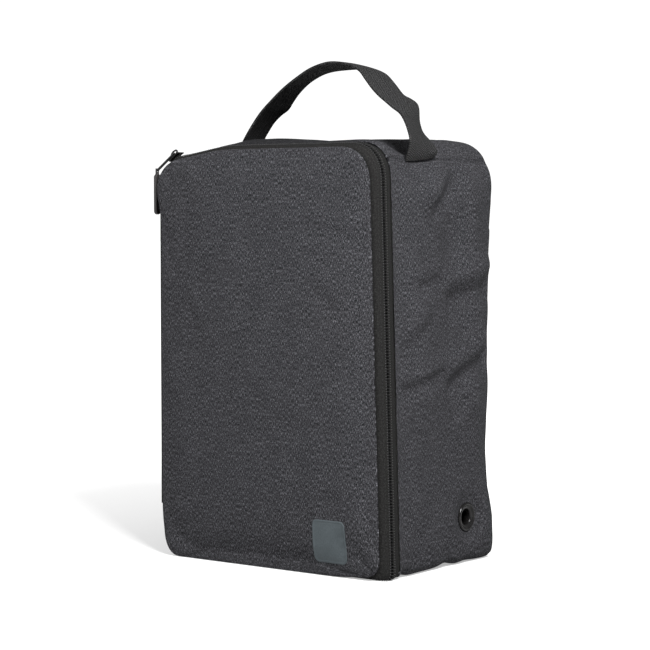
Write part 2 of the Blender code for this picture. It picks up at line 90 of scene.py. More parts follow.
CLOTH = 0.0008  # outer fabric
FOAM_DEPTH = 0.0020  # from the outer face to the foam
FOAM = 0.0011
LINING_DEPTH = 0.0032
LINING = 0.0005
BINDING = 0.0006
FLOOR_GAP, FRONT_FLOOR_GAP = 0.0005, 0.0004  # least height of the cloth's points
FRONT_LEAN = 0.031  # how much the right front edge leans in, in metres per metre of height
FRONT_FOOT_X = RIGHT + 0.0028
STRIP_STEP = 0.006  # the zip strip stands this far outside the front panel's edge
TOP_RISE = 0.0040
BACK_RISE = 0.0040
LEFT_SWELL = 0.0025
EYELET_Y, EYELET_Z = 0.0395, 0.038
EYELET_CUT = 0.0088
WALL_X = 0.08  # points further out than this are on a side wall


def smoothstep(x):
    x = np.clip(x, 0.0, 1.0)
    return x * x * (3 - 2 * x)


def bump_at(x, centre, width):
    return np.exp(-(((x - centre) / width) ** 2))


# ---------------------------------------------------------------- stations round the bag
# Every ring of the bag has the same stations, clockwise seen from the front, from the zip's lower left end.

SEGMENTS = ("left_mid", "left_top", "tl", "top", "tr", "right", "br", "bottom", "bl", "left_low")
CELLS = {"left_mid": 50, "left_top": 6, "top": 42, "right": 64, "bottom": 42, "left_low": 8}
CORNER = (0.0, 0.17, 0.32, 0.42, 0.465, 0.5, 0.535, 0.58, 0.68, 0.83)


def make_stations():
    stations = []
    for number, segment in enumerate(SEGMENTS):
        shares = CORNER if segment not in CELLS else np.arange(CELLS[segment]) / CELLS[segment]
        stations += [(number, float(share)) for share in shares]
    return stations


STATIONS = make_stations()
SEGMENT = np.array([number for number, _ in STATIONS])
SHARE = np.array([share for _, share in STATIONS])
NU = len(STATIONS)


def station(segment, share):
    """Index of the station at this share of a segment."""
    number = SEGMENTS.index(segment)
    return next(i for i, (n, s) in enumerate(STATIONS) if n == number and abs(s - share) < 1e-6)


PATCH_CORNER = {corner: station(corner, 0.5) for corner in ("tl", "tr", "br", "bl")}
SEAM = {**PATCH_CORNER, "tr": station("tr", 0.68)}
TAIL_START = station("left_top", 0.0)


def ring(x0, x1, z0, z1, radii, tails=None):
    """(NU, 2) points x, z of a rounded rectangle. The radii go clockwise from the top left."""
    tl, tr, br, bl = radii
    low, high = tails or (TAIL_BOTTOM, TAIL_TOP)
    span = {
        "left_mid": ((x0, low), (x0, high)),
        "left_top": ((x0, high), (x0, z1 - tl)),
        "top": ((x0 + tl, z1), (x1 - tr, z1)),
        "right": ((x1, z1 - tr), (x1, z0 + br)),
        "bottom": ((x1 - br, z0), (x0 + bl, z0)),
        "left_low": ((x0, z0 + bl), (x0, low)),
    }
    corner = {
        "tl": (x0 + tl, z1 - tl, tl, 180),
        "tr": (x1 - tr, z1 - tr, tr, 90),
        "br": (x1 - br, z0 + br, br, 0),
        "bl": (x0 + bl, z0 + bl, bl, -90),
    }
    points = np.zeros((NU, 2))
    for number, segment in enumerate(SEGMENTS):
        here = SEGMENT == number
        share = SHARE[here][:, None]
        if segment in span:
            a, b = np.array(span[segment])
            points[here] = a + (b - a) * share
        else:
            cx, cz, r, start = corner[segment]
            angle = np.radians(start - 90 * share[:, 0])
            points[here] = np.stack([cx + r * np.cos(angle), cz + r * np.sin(angle)], 1)
    return points


def shrunk_ring(x0, x1, z0, z1, radii, depth):
    """The same ring, moved inwards by depth, rounder towards the middle."""
    half = (x1 - x0) / 2
    left = half - depth
    inner = [min(max(r - depth, 0.30 * left), 0.98 * left) for r in radii]
    a, b = x0 + depth, x1 - depth
    c, d = z0 + depth, z1 - depth
    low = np.interp(TAIL_BOTTOM, (z0 + radii[3], z1 - radii[0]), (c + inner[3], d - inner[0]))
    high = np.interp(TAIL_TOP, (z0 + radii[3], z1 - radii[0]), (c + inner[3], d - inner[0]))
    return ring(a, b, c, d, inner, (low, high))


# ---------------------------------------------------------------- sheets and grids

CLOTH_SETTINGS = {
    "quality": 5, "mass": 0.2, "tension_stiffness": 15, "compression_stiffness": 15, "shear_stiffness": 5,
    "bending_stiffness": 0.5, "use_pressure": True, "vertex_group_mass": "pin",
}
SETTLING_FRAMES = 18


def band(a, b, count, closed=True):
    """Faces between two rows of count points each, that start at points a and b."""
    places = range(count if closed else count - 1)
    return [(a + k, a + (k + 1) % count, b + (k + 1) % count, b + k) for k in places]


def set_cloth(obj, coords):
    """Stores the cloth's own coordinates, in metres, which the materials read."""
    attribute = obj.data.attributes.new("cloth", "FLOAT_VECTOR", "POINT")
    attribute.data.foreach_set("vector", coords.astype(np.float32).ravel())


class Sheet:
    """A cloth surface: rows of NU stations round the bag, and a patch that closes the last row.
    outward is -1 where the rows run the other way, so that the normals still point out of the bag."""

    def __init__(self, rows, closed, outward=1):
        rows = np.array(rows)
        self.rows = len(rows)
        self.points = rows.reshape(-1, 3)
        self.faces = []
        for row in range(self.rows - 1):
            self.faces += band(row * NU, (row + 1) * NU, NU)
        self.row = np.repeat(np.arange(self.rows), NU)
        self.segment = np.tile(SEGMENT, self.rows)
        if closed:
            self.close()
        if outward < 0:
            self.faces = [face[::-1] for face in self.faces]
        self.faces = np.array(self.faces)
        self.coords = self.points.copy()
        self.base = None

    def side(self, first, last):
        """Indices in the last row from one corner's seam to another's."""
        base = (self.rows - 1) * NU
        return [base + column % NU for column in columns_between(PATCH_CORNER[first], PATCH_CORNER[last])]

    def close(self):
        """Fills the last row with a patch blended from its four sides."""
        top = self.side("tl", "tr")
        right = self.side("tr", "br")[::-1]
        bottom = self.side("br", "bl")[::-1]
        left = self.side("bl", "tl")
        across, up = len(top), len(left)
        p = self.points
        u = (share_along(p[top]) + share_along(p[bottom])) / 2
        v = (share_along(p[left]) + share_along(p[right])) / 2
        index = np.zeros((across, up), int)
        index[:, -1], index[:, 0], index[0, :], index[-1, :] = top, bottom, left, right
        made = []
        for i in range(1, across - 1):
            for j in range(1, up - 1):
                index[i, j] = len(p) + len(made)
                sides = (1 - v[j]) * p[bottom[i]] + v[j] * p[top[i]]
                sides = sides + (1 - u[i]) * p[left[j]] + u[i] * p[right[j]]
                low = (1 - u[i]) * p[bottom[0]] + u[i] * p[bottom[-1]]
                high = (1 - u[i]) * p[top[0]] + u[i] * p[top[-1]]
                made.append(sides - (1 - v[j]) * low - v[j] * high)
        self.points = np.concatenate([p, made])
        self.row = np.concatenate([self.row, np.full(len(made), self.rows)])
        self.segment = np.concatenate([self.segment, np.full(len(made), -1)])
        for i in range(across - 1):
            for j in range(up - 1):
                self.faces.append((index[i, j], index[i, j + 1], index[i + 1, j + 1], index[i + 1, j]))

    def grid(self):
        """The rows as a (rows, NU, 3) array that shares this sheet's points."""
        return self.points[: self.rows * NU].reshape(self.rows, NU, 3)

    def on(self, *segments):
        return np.isin(self.segment, [SEGMENTS.index(s) for s in segments]) * 1.0

    def normals(self):
        a, b, c, d = (self.points[self.faces[:, k]] for k in range(4))
        across = np.cross(c - a, d - b)
        total = np.zeros_like(self.points)
        for k in range(4):
            np.add.at(total, self.faces[:, k], across)
        return total / np.maximum(np.linalg.norm(total, axis=1, keepdims=True), 1e-12)

    def push(self, amount):
        """Moves the points out along their normals."""
        self.points = self.points + self.normals() * amount[:, None]

    def unevenness(self, amount, scale, seed):
        shift = Vector(seed)
        return np.array([amount * noise.noise(Vector(p) * scale + shift) for p in self.points])

    def inside(self, depth):
        """The points of a layer, that far under the sheet as it was before its seams were pressed."""
        if self.base is None:
            return self.points - self.normals() * depth
        return self.base - self.layers * depth

    def piece(self, name, keep=None, depth=0.0, drop=None):
        """A mesh of the faces that keep() accepts, leaving out those whose middle drop() is true of."""
        points = self.inside(depth) if depth else self.points
        faces = self.faces if keep is None else self.faces[keep]
        if drop:
            faces = np.array([f for f in faces if not drop(points[f].mean(0))])
        used = np.unique(faces)
        renumber = {int(old): new for new, old in enumerate(used)}
        obj = mesh_object(name, points[used], [tuple(renumber[int(i)] for i in f) for f in faces])
        set_cloth(obj, self.coords[used])
        return obj

    def settle(self, pin, pressure, cap):
        """Lets the sheet settle as cloth under air pressure, held where pin is 1, and caps its movement."""
        scene = bpy.context.scene
        obj = mesh_object("settling", self.points, [tuple(map(int, f)) for f in self.faces])
        group = obj.vertex_groups.new(name="pin")
        for number, weight in enumerate(pin):
            if weight > 0:
                group.add([number], float(weight), "REPLACE")
        cloth = obj.modifiers.new("cloth", "CLOTH")
        for key, value in CLOTH_SETTINGS.items():
            setattr(cloth.settings, key, value)
        cloth.settings.uniform_pressure_force = pressure
        cloth.settings.effector_weights.gravity = 0
        cloth.collision_settings.use_collision = False
        for number in range(1, SETTLING_FRAMES + 1):
            scene.frame_set(number)
        settled = obj.evaluated_get(bpy.context.evaluated_depsgraph_get())
        moved = np.empty(len(self.points) * 3, np.float32)
        settled.to_mesh().vertices.foreach_get("co", moved)
        settled.to_mesh_clear()
        scene.frame_set(1)
        bpy.data.objects.remove(obj)
        shift = moved.reshape(-1, 3) - self.points
        size = np.linalg.norm(shift, axis=1, keepdims=True)
        self.points = self.points + shift * np.minimum(1.0, cap / np.maximum(size, 1e-9))


def share_along(line):
    steps = np.concatenate([[0], np.cumsum(np.linalg.norm(np.diff(line, axis=0), axis=1))])
    return steps / steps[-1]


def columns_between(first, last):
    """Station numbers from first to last, going on past the loop's end if need be."""
    return list(range(first, last + 1 if last > first else last + NU + 1))


def normals_of(grid):
    along = np.roll(grid, -1, 1) - np.roll(grid, 1, 1)
    normal = np.cross(along, np.gradient(grid, axis=0))
    return normal / np.maximum(np.linalg.norm(normal, axis=2, keepdims=True), 1e-12)


def grid_object(name, grid, coords, columns=None):
    """A mesh of a (rows, stations, 3) array, or of some of its columns, with the cloth's own coordinates."""
    columns = list(range(grid.shape[1])) if columns is None else [c % grid.shape[1] for c in columns]
    count = len(columns)
    faces = []
    for row in range(len(grid) - 1):
        faces += band(row * count, (row + 1) * count, count, closed=False)
    obj = mesh_object(name, grid[:, columns].reshape(-1, 3), faces)
    set_cloth(obj, coords[:, columns])
    return obj


def mesh_object(name, points, faces):
    mesh = bpy.data.meshes.new(name)
    mesh.from_pydata([tuple(map(float, p)) for p in points], [], faces)
    obj = bpy.data.objects.new(name, mesh)
    bpy.context.scene.collection.objects.link(obj)
    mesh.shade_smooth()
    return obj


def thicken(obj, thickness, offset=0):
    wall = obj.modifiers.new("wall", "SOLIDIFY")
    wall.thickness = thickness
    wall.offset = offset
    return obj


def solid(obj, thickness):
    """Thickens a sheet inwards, after a subdivision that rounds it."""
    rounded = obj.modifiers.new("round", "SUBSURF")
    rounded.levels = 1
    rounded.render_levels = 1
    return thicken(obj, thickness, -1)


@contextmanager
def edited(obj):
    """The object's mesh, open for editing."""
    bm = bmesh.new()
    bm.from_mesh(obj.data)
    yield bm
    bm.to_mesh(obj.data)
    bm.free()


def fix_normals(obj):
    with edited(obj) as bm:
        bmesh.ops.recalc_face_normals(bm, faces=bm.faces)


def apply_modifiers(obj):
    graph = bpy.context.evaluated_depsgraph_get()
    mesh = bpy.data.meshes.new_from_object(obj.evaluated_get(graph))
    old = obj.data
    obj.modifiers.clear()
    obj.data = mesh
    bpy.data.meshes.remove(old)
    return obj


def dress(obj, material, body, slot, *nodes):
    """Gives a piece its material and its body, and hides the CAD nodes that it stands for; slot is not used."""
    obj.data.materials.clear()
    obj.data.materials.append(material)
    if body:
        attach(obj, body)
    if nodes:
        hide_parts(*nodes)
    return obj


# ---------------------------------------------------------------- node helpers


class Shader:
    """A material under construction: short names for the nodes that it needs."""

    def __init__(self, name):
        self.material = bpy.data.materials.new(name)
        self.material.use_nodes = True
        self.tree = self.material.node_tree
        self.surface = self.tree.nodes["Principled BSDF"]

    def node(self, kind, **values):
        made = self.tree.nodes.new(kind)
        for key, value in values.items():
            setattr(made, key, value)
        return made

    def link(self, source, target):
        if isinstance(source, bpy.types.NodeSocket):
            self.tree.links.new(source, target)
        else:
            target.default_value = source

    def math(self, operation, a, b=0.0, c=0.0):
        made = self.node("ShaderNodeMath", operation=operation)
        for socket, value in zip(made.inputs, (a, b, c)):
            self.link(value, socket)
        return made.outputs[0]

    def cloth(self, scale):
        """The cloth's own coordinates, in metres, times scale."""
        source = self.node("ShaderNodeAttribute", attribute_name="cloth").outputs["Vector"]
        return self.scaled(source, scale)

    def place(self, scale=(1, 1, 1)):
        return self.scaled(self.node("ShaderNodeTexCoord").outputs["Object"], scale)

    def scaled(self, vector, scale):
        made = self.node("ShaderNodeVectorMath", operation="MULTIPLY")
        self.tree.links.new(vector, made.inputs[0])
        made.inputs[1].default_value = scale
        return made.outputs[0]

    def noise(self, vector, scale, detail=2.0, roughness=0.5):
        made = self.node("ShaderNodeTexNoise")
        self.tree.links.new(vector, made.inputs["Vector"])
        made.inputs["Scale"].default_value = scale
        made.inputs["Detail"].default_value = detail
        made.inputs["Roughness"].default_value = roughness
        return made.outputs["Fac"]

    def ramp(self, factor, *stops):
        made = self.node("ShaderNodeValToRGB")
        self.tree.links.new(factor, made.inputs["Fac"])
        elements = made.color_ramp.elements
        while len(elements) < len(stops):
            elements.new(0.5)
        for element, (position, colour) in zip(elements, stops):
            element.position = position
            element.color = (*colour, 1) if hasattr(colour, "__len__") else (colour, colour, colour, 1)
        return made.outputs["Color"]

    def mix(self, factor, a, b, blend="MIX"):
        made = self.node("ShaderNodeMix", data_type="RGBA", blend_type=blend)
        for value, socket in ((factor, made.inputs[0]), (a, made.inputs[6]), (b, made.inputs[7])):
            if isinstance(value, bpy.types.NodeSocket):
                self.tree.links.new(value, socket)
            elif hasattr(value, "__len__"):
                socket.default_value = (*value, 1)
            else:
                socket.default_value = value
        return made.outputs[2]

    def separate(self, axis):
        """One of the cloth's own coordinates: 0 across, 1 along."""
        source = self.node("ShaderNodeAttribute", attribute_name="cloth").outputs["Vector"]
        made = self.node("ShaderNodeSeparateXYZ")
        self.tree.links.new(source, made.inputs[0])
        return made.outputs[axis]

    def wave(self, value, pitch):
        return self.math("SINE", self.math("MULTIPLY", value, 2 * pi / pitch))

    def bump(self, height, distance, strength=1.0):
        made = self.node("ShaderNodeBump")
        made.inputs["Distance"].default_value = distance
        made.inputs["Strength"].default_value = strength
        self.tree.links.new(height, made.inputs["Height"])
        self.tree.links.new(made.outputs["Normal"], self.surface.inputs["Normal"])

    def set(self, **values):
        names = {"colour": "Base Color", "roughness": "Roughness", "specular": "Specular IOR Level"}
        for key, value in values.items():
            socket = self.surface.inputs[names[key]]
            if isinstance(value, bpy.types.NodeSocket):
                self.tree.links.new(value, socket)
            elif hasattr(value, "__len__"):
                socket.default_value = (*value, 1)
            else:
                socket.default_value = value
        return self.material


YARN = 0.00052  # the weave's pitch
THREAD_TINT = (1.0, 1.0, 1.10)


def heather(name, dark=0.0024, mid=0.0118, light=0.118, painted_shade=False):
    """Melange polyester: dark yarn with lighter slubs along the warp, in a plain weave of half a millimetre."""
    s = Shader(name)
    streaks = s.noise(s.cloth((2150, 360, 0)), 1.15, 3.0, 0.62)
    yarns = s.noise(s.cloth((2600, 1500, 0)), 1.0, 1.0, 0.5)
    patches = s.noise(s.cloth((60, 38, 0)), 1.0, 2.0, 0.5)
    blended = s.math("ADD", s.math("MULTIPLY", streaks, 0.66), s.math("MULTIPLY", yarns, 0.34))
    shifted = s.math("ADD", blended, s.math("MULTIPLY", s.math("SUBTRACT", patches, 0.5), 0.025))
    stops = ((0.40, dark), (0.49, mid), (0.55, mid * 2.1), (0.65, light))
    colour = s.ramp(shifted, *[(p, tuple(v * c for c in THREAD_TINT)) for p, v in stops])
    if painted_shade:
        # painted shade: the top's cloth is darker, up to its right corner
        side = s.node("ShaderNodeSeparateXYZ")
        s.tree.links.new(s.place(), side.inputs[0])
        shade = s.ramp(s.math("MULTIPLY", side.outputs[0], 10), (0.55, 0.50), (0.92, 1.0))
        colour = s.mix(1.0, colour, shade, "MULTIPLY")
    weave = s.math("MULTIPLY", s.wave(s.separate(0), YARN), s.wave(s.separate(1), YARN))
    height = s.math("ADD", s.math("MULTIPLY", weave, 0.08), blended)
    rough = s.math("MULTIPLY_ADD", blended, -0.25, 0.97)
    s.bump(height, 0.00022, 0.8)
    return s.set(colour=colour, roughness=rough, specular=0.05)


def tape_material(name="zip_tape"):
    """Woven tape: fine ribs across, in brown-black."""
    s = Shader(name)
    ribs = s.wave(s.separate(1), 0.0009)
    twill = s.wave(s.math("ADD", s.separate(0), s.separate(1)), 0.0006)
    fuzz = s.noise(s.cloth((1500, 900, 0)), 1.0, 2.0)
    mixed = s.math("ADD", s.math("MULTIPLY", twill, 0.16), s.math("MULTIPLY_ADD", ribs, 0.10, fuzz))
    colour = s.ramp(mixed, (0.20, 0.0012), (0.55, (0.0062, 0.0061, 0.0059)), (0.85, (0.024, 0.024, 0.023)))
    s.bump(mixed, 0.00018, 0.7)
    return s.set(colour=colour, roughness=0.85, specular=0.08)


def webbing_material(name="webbing_weave"):
    """Herringbone webbing: ribs that zigzag across the strap."""
    s = Shader(name)
    across = s.math("PINGPONG", s.separate(0), 0.0045)
    chevron = s.math("ADD", s.separate(1), across)
    rib = s.wave(chevron, 0.0021)
    cords = s.wave(s.separate(0), 0.0011)
    fuzz = s.noise(s.cloth((900, 900, 0)), 1.0, 2.0)
    mixed = s.math("ADD", s.math("MULTIPLY", rib, 0.26), s.math("MULTIPLY_ADD", cords, 0.12, fuzz))
    colour = s.ramp(mixed, (0.20, 0.0020), (0.55, 0.0066), (0.85, (0.040, 0.040, 0.041)))
    s.bump(mixed, 0.0005, 0.9)
    return s.set(colour=colour, roughness=0.80, specular=0.10)


def grained(name, scale, detail, stops, bump, rough, specular, fineness=0.5):
    """A material whose colour, bump and, where rough is a pair, roughness follow one fine grain."""
    s = Shader(name)
    grain = s.noise(s.place((scale,) * 3), 1.0, detail, fineness)
    s.bump(grain, *bump)
    if hasattr(rough, "__len__"):
        rough = s.math("MULTIPLY_ADD", grain, *rough)
    return s.set(colour=s.ramp(grain, *stops), roughness=rough, specular=specular)


def lining_material(name="lining_weave"):
    stops = ((0.3, (0.010, 0.010, 0.011)), (0.7, (0.020, 0.020, 0.022)))
    return grained(name, 2200, 1.0, stops, (0.0001, 0.6), 0.65, 0.3)


def foam_material(name="foam_cells"):
    stops = ((0.35, (0.12, 0.12, 0.11)), (0.65, (0.20, 0.20, 0.19)))
    return grained(name, 900, 3.0, stops, (0.0003,), 0.95, 0.1, fineness=0.7)


def metal_material(name="black_lacquer"):
    """Black lacquered brass: glossy, with fine wear that lets the roughness vary."""
    stops = ((0.35, 0.003), (0.75, (0.008, 0.0075, 0.0075)))
    return grained(name, 700, 4.0, stops, (0.00004, 0.5), (0.16, 0.12), 0.18, fineness=0.6)


def rubber_material(name="grip_rubber"):
    stops = ((0.3, (0.007, 0.006, 0.006)), (0.7, (0.014, 0.012, 0.012)))
    return grained(name, 1800, 3.0, stops, (0.00008, 0.6), (0.2, 0.42), 0.35)


def thread_material(name, dark, light, specular=0.2):
    stops = ((0.3, dark), (0.7, (light, light, light * 1.03)))
    return grained(name, 3000, 2.0, stops, (0.00008,), 0.7, specular)


def print_material(name="patch_print"):
    """Slate rubber print with the cloth's grain showing faintly through."""
    s = Shader(name)
    grain = s.noise(s.place((1400, 1400, 900)), 1.0, 2.0)
    wide = s.noise(s.place((90, 90, 90)), 1.0, 1.0)
    both = s.math("MULTIPLY_ADD", wide, 0.35, grain)
    colour = s.ramp(both, (0.40, (0.021, 0.027, 0.030)), (0.95, (0.034, 0.042, 0.046)))
    s.bump(grain, 0.00010, 0.7)
    return s.set(colour=colour, roughness=0.62, specular=0.25)


HEATHER = heather("heather_cloth")
# a copy of the cloth with painted shade, for the top panel
HEATHER_TOP_PAINTED_SHADE = heather("heather_cloth_top_painted_shade", painted_shade=True)
TAPE = tape_material()
WEBBING = webbing_material()
LINING_CLOTH = lining_material()
FOAM_CELLS = foam_material()
METAL = metal_material()
RUBBER = rubber_material()
DARK_THREAD = thread_material("dark_thread", 0.004, 0.010)
GREY_THREAD = thread_material("grey_thread", 0.020, 0.050)
COIL_NYLON = thread_material("coil_nylon", 0.0015, 0.004, 0.1)
PRINT = print_material()
TOOTH = thread_material("tooth_nylon", 0.006, 0.016, 0.2)
CORD_BRAID = thread_material("cord_braid", 0.005, 0.016, 0.3)
BOARD = lining_material("board_face")

# ---------------------------------------------------------------- the bag's soft surface


BACK_EDGE = (  # (z, x) of the right wall at the back, with its waist and its flared foot
    (0.0, 0.1222), (0.014, 0.1218), (0.038, 0.1185), (0.062, 0.1146), (0.095, 0.1146), (0.20, 0.1158),
    (0.298, 0.1176), (0.33, 0.1174), (0.36, 0.1168),
)


def right_edge(z, depth):
    """x of the right wall at this height, and at this share of the depth from the zip (0) to the back (1)."""
    at_front = FRONT_FOOT_X - FRONT_LEAN * z
    at_back = np.interp(z, *zip(*BACK_EDGE))
    return at_front + (at_back - at_front) * depth**1.6


def lean(points, depth):
    """Moves a ring's right wall to its leaning place, with less and less effect towards the left."""
    share = smoothstep((points[:, 0] - 0.02) / (RIGHT - 0.02))
    shift = right_edge(points[:, 1], depth) - RIGHT
    moved = points.copy()
    moved[:, 0] += share * shift
    return moved


TUB_RADII = (0.022, 0.027, 0.008, 0.012)
FRONT_RADII = (0.020, 0.026, 0.014, 0.018)
BACK_ROUND = 0.007


def top_drop(x, depth):
    """How far the top sinks towards the left: most over the zip, least at the back."""
    return (0.0020 + 0.0055 * (1 - smoothstep(depth / 0.45))) * smoothstep((-0.040 - x) / 0.065)


def lower_top(points, depth):
    share = smoothstep((points[:, 1] - HEIGHT / 2) / (0.35 * HEIGHT))
    points[:, 1] -= share * top_drop(points[:, 0], depth)
    return points


def tub_ring(y, inset=0.0):
    depth = (y - BODY_Y) / (BACK - BODY_Y)
    top = HEIGHT + TOP_RISE + BACK_RISE * smoothstep(depth * 1.3)
    low = (LEFT - LEFT_SWELL, RIGHT, 0.0003, top)
    radii = (TUB_RADII[0], TUB_RADII[1] + 0.005 * float(smoothstep(depth)), *TUB_RADII[2:])
    points = shrunk_ring(*low, radii, inset) if inset else ring(*low, radii)
    depth = max(0.0, min(1.0, depth))
    return lower_top(lean(points, depth), depth)


def with_y(points, y):
    return np.stack([points[:, 0], np.broadcast_to(y, (NU,)), points[:, 1]], 1)


def rim_y():
    """Where the tub's front edge runs: at the zip, or forward at the hinge seam between the zip's two ends."""
    y = np.full(NU, BODY_Y)
    mid = SEGMENT == SEGMENTS.index("left_mid")
    reach = smoothstep(np.minimum(SHARE, 1 - SHARE) * (TAIL_TOP - TAIL_BOTTOM) / 0.014)
    y[mid] += (FRONT + 0.0030 - BODY_Y) * reach[mid]
    return y


# (outwards, behind the rim) of the folded edge
RIM_ROWS = ((-0.0020, 0.0026), (-0.0010, 0.0006), (-0.0003, 0.0))
SIDE_ROWS = [0.006, 0.018, 0.035, 0.060] + list(np.linspace(0.09, 0.95, 27)) + [0.975, 1.0]
BACK_ARC = (14, 28, 38, 45, 52, 62, 76, 90)
BACK_DEPTHS = (0.0035, 0.0075)
SEAM_ROW = len(RIM_ROWS) + len(SIDE_ROWS) + BACK_ARC.index(45)


def tub_sheet():
    """Rows from the zip to the back seam, round the edge, and on to a patch for the back."""
    front_y = rim_y()
    end_y = BACK - BACK_ROUND
    rows = []
    rim = tub_ring(BODY_Y)
    out = ring_normals(rim)
    for away, behind in RIM_ROWS:
        rows.append(with_y(rim + out * away, front_y + behind))
    for share in SIDE_ROWS:
        y = front_y + (end_y - front_y) * share
        rows.append(with_y(tub_ring(float(BODY_Y + (end_y - BODY_Y) * share)), y))
    # Between the zip's ends the left wall turns in a little towards the hinge seam.
    mid = SEGMENT == SEGMENTS.index("left_mid")
    for row in rows[:9]:
        ahead = smoothstep((BODY_Y - row[:, 1]) / (BODY_Y - FRONT - 0.003))
        row[mid, 0] += (HINGE.x + 0.0005 - row[mid, 0]) * ahead[mid]
    for angle in BACK_ARC:
        a = radians(angle)
        outline = tub_ring(BACK, BACK_ROUND * (1 - cos(a)) + 1e-6)
        rows.append(with_y(outline, BACK - BACK_ROUND + BACK_ROUND * sin(a)))
    for depth in BACK_DEPTHS:
        rows.append(with_y(tub_ring(BACK, BACK_ROUND + depth), BACK))
    return Sheet(rows, closed=True)


CREASES = (  # (y, z) of the two ends, width, depth: folds across the right wall
    ((-0.034, 0.230), (-0.004, 0.2360), 0.0042, 0.0034),
    ((0.010, 0.217), (0.076, 0.229), 0.0105, 0.0056),
    ((-0.052, 0.147), (0.002, 0.159), 0.0048, 0.0038),
    ((0.010, 0.1455), (0.072, 0.173), 0.0095, 0.0060),
    ((0.019, 0.112), (0.050, 0.136), 0.0050, -0.0020),
    ((-0.009, 0.288), (0.027, 0.319), 0.0085, 0.0050),
    ((-0.050, 0.180), (-0.012, 0.203), 0.0065, 0.0022),
)

PULL_LINES = (  # y at the top, how far back it runs for each metre down, height, length
    (-0.030, 0.42, 0.0012, 0.050), (-0.012, 0.62, 0.0014, 0.060), (0.006, 0.80, 0.0012, 0.045),
)

RIGHT_SWELLS = (  # height, then y and its reach, then z and its reach
    (-0.0042, 0.016, 0.013, 0.268, 0.034), (0.0034, 0.043, 0.007, 0.295, 0.026),
    (0.0034, -0.012, 0.034, 0.303, 0.012), (0.0026, -0.022, 0.024, 0.215, 0.085),
    (0.0042, 0.052, 0.014, 0.225, 0.095), (-0.0022, 0.005, 0.030, 0.100, 0.045),
)
LEFT_SWELLS = ((-0.0030, 0.01, 0.035, 0.20, 0.07), (0.0018, 0.04, 0.02, 0.10, 0.05))
TOP_SWELLS = (  # height, then x and its reach, then y and its reach
    (-0.0030, 0.020, 0.045, 0.0, 0.05), (0.0042, -0.060, 0.034, -0.02, 0.04),
)


def swells(a, b, table):
    """The sum of the table's round swells, over two coordinates of the wall."""
    total = 0
    for height, at_a, reach_a, at_b, reach_b in table:
        total = total + height * bump_at(a, at_a, reach_a) * bump_at(b, at_b, reach_b)
    return total


def shape_tub(sheet):
    """Folds and hollows of the walls: the recess at the handle, pull lines, a soft valley and creases."""
    x, y, z = sheet.points.T
    on_right = sheet.on("tr", "right", "br")
    on_left = sheet.on("tl", "left_mid", "left_top", "left_low")
    on_top = sheet.on("tl", "top", "tr")
    on_back = (sheet.row > SEAM_ROW) * 1.0
    side = smoothstep((sheet.row - 2) / 4.0) * (1 - on_back)
    # a valley and swells on the right wall, two hollows on the left, and a dip between the handle's ends
    push = side * on_right * swells(y, z, RIGHT_SWELLS)
    push += side * on_left * swells(y, z, LEFT_SWELLS)
    push += side * on_top * swells(x, y, TOP_SWELLS)
    # pull lines that run down and back from the handle's root
    for start, slope, depth, length in PULL_LINES:
        drop = 0.325 - z
        width = 0.0032 + 0.05 * np.maximum(drop, 0)
        fade = smoothstep(drop / 0.012) * (1 - smoothstep(drop / length))
        push += on_right * side * depth * bump_at(y, start + slope * drop, width) * fade
    # recess round the handle's right root, and its raised shoulders
    near_root = bump_at(x, 0.092, 0.016) * bump_at(z, HEIGHT + 0.004, 0.0115)
    push -= 0.0085 * side * bump_at(y, -0.020, 0.020) * near_root
    push += 0.0030 * side * (bump_at(y, -0.049, 0.012) + bump_at(y, 0.012, 0.012)) * near_root
    push -= 0.0055 * side * bump_at(y, 0.006, 0.020) * bump_at(x, -0.097, 0.016) * bump_at(z, HEIGHT, 0.018)
    # the back: a shallow swell, a dent across it and a crease from each upper corner
    push += 0.0012 * on_back * bump_at(x, 0.0, 0.07) * bump_at(z, 0.17, 0.11)
    push -= 0.0020 * on_back * bump_at(z + 0.25 * x, 0.235, 0.016) * bump_at(x, 0.02, 0.07)
    push -= 0.0014 * on_back * bump_at(z - 0.5 * x, 0.12, 0.012) * bump_at(x, -0.04, 0.05)
    for start, end, width, depth in CREASES:
        push += on_right * side * crease(y, z, start, end, width, depth)
    push += sheet.unevenness(0.0014, 17.0, (0, 0, 0)) * np.minimum(1.0, sheet.row / 8)
    push += sheet.unevenness(0.0005, 55.0, (9, 2, 5)) * np.minimum(1.0, sheet.row / 8)
    sheet.push(push)


def crease(a, b, start, end, width, depth):
    """A furrow along a line in the wall, with a ridge on its upper side, fading out past its two ends."""
    start, end = np.array(start), np.array(end)
    length = np.linalg.norm(end - start)
    along = ((a - start[0]) * (end - start)[0] + (b - start[1]) * (end - start)[1]) / length
    off = ((b - start[1]) * (end - start)[0] - (a - start[0]) * (end - start)[1]) / length
    fade = smoothstep(along / 0.010 + 0.5) * (1 - smoothstep((along - length) / 0.012 + 0.5))
    return fade * (0.8 * depth * bump_at(off, 1.7 * width, 1.1 * width) - depth * bump_at(off, 0.0, width))


# (height, y, reach) of the waves along the right wall's foot
FOOT_WAVES = ((0.0030, -0.053, 0.006), (0.0032, 0.010, 0.010), (0.0012, 0.040, 0.012))


def lift_foot(points):
    """The right wall's foot stands in soft waves, and its rear corner is well rounded."""
    x, y, z = points.T
    near = smoothstep((x - 0.06) / 0.05) * (1 - smoothstep(z / 0.026))
    lift = sum(height * bump_at(y, place, width) for height, place, width in FOOT_WAVES)
    lift += 0.0015 * smoothstep((y - 0.066) / 0.014) * smoothstep((x - 0.09) / 0.03)
    points[:, 2] += near * lift


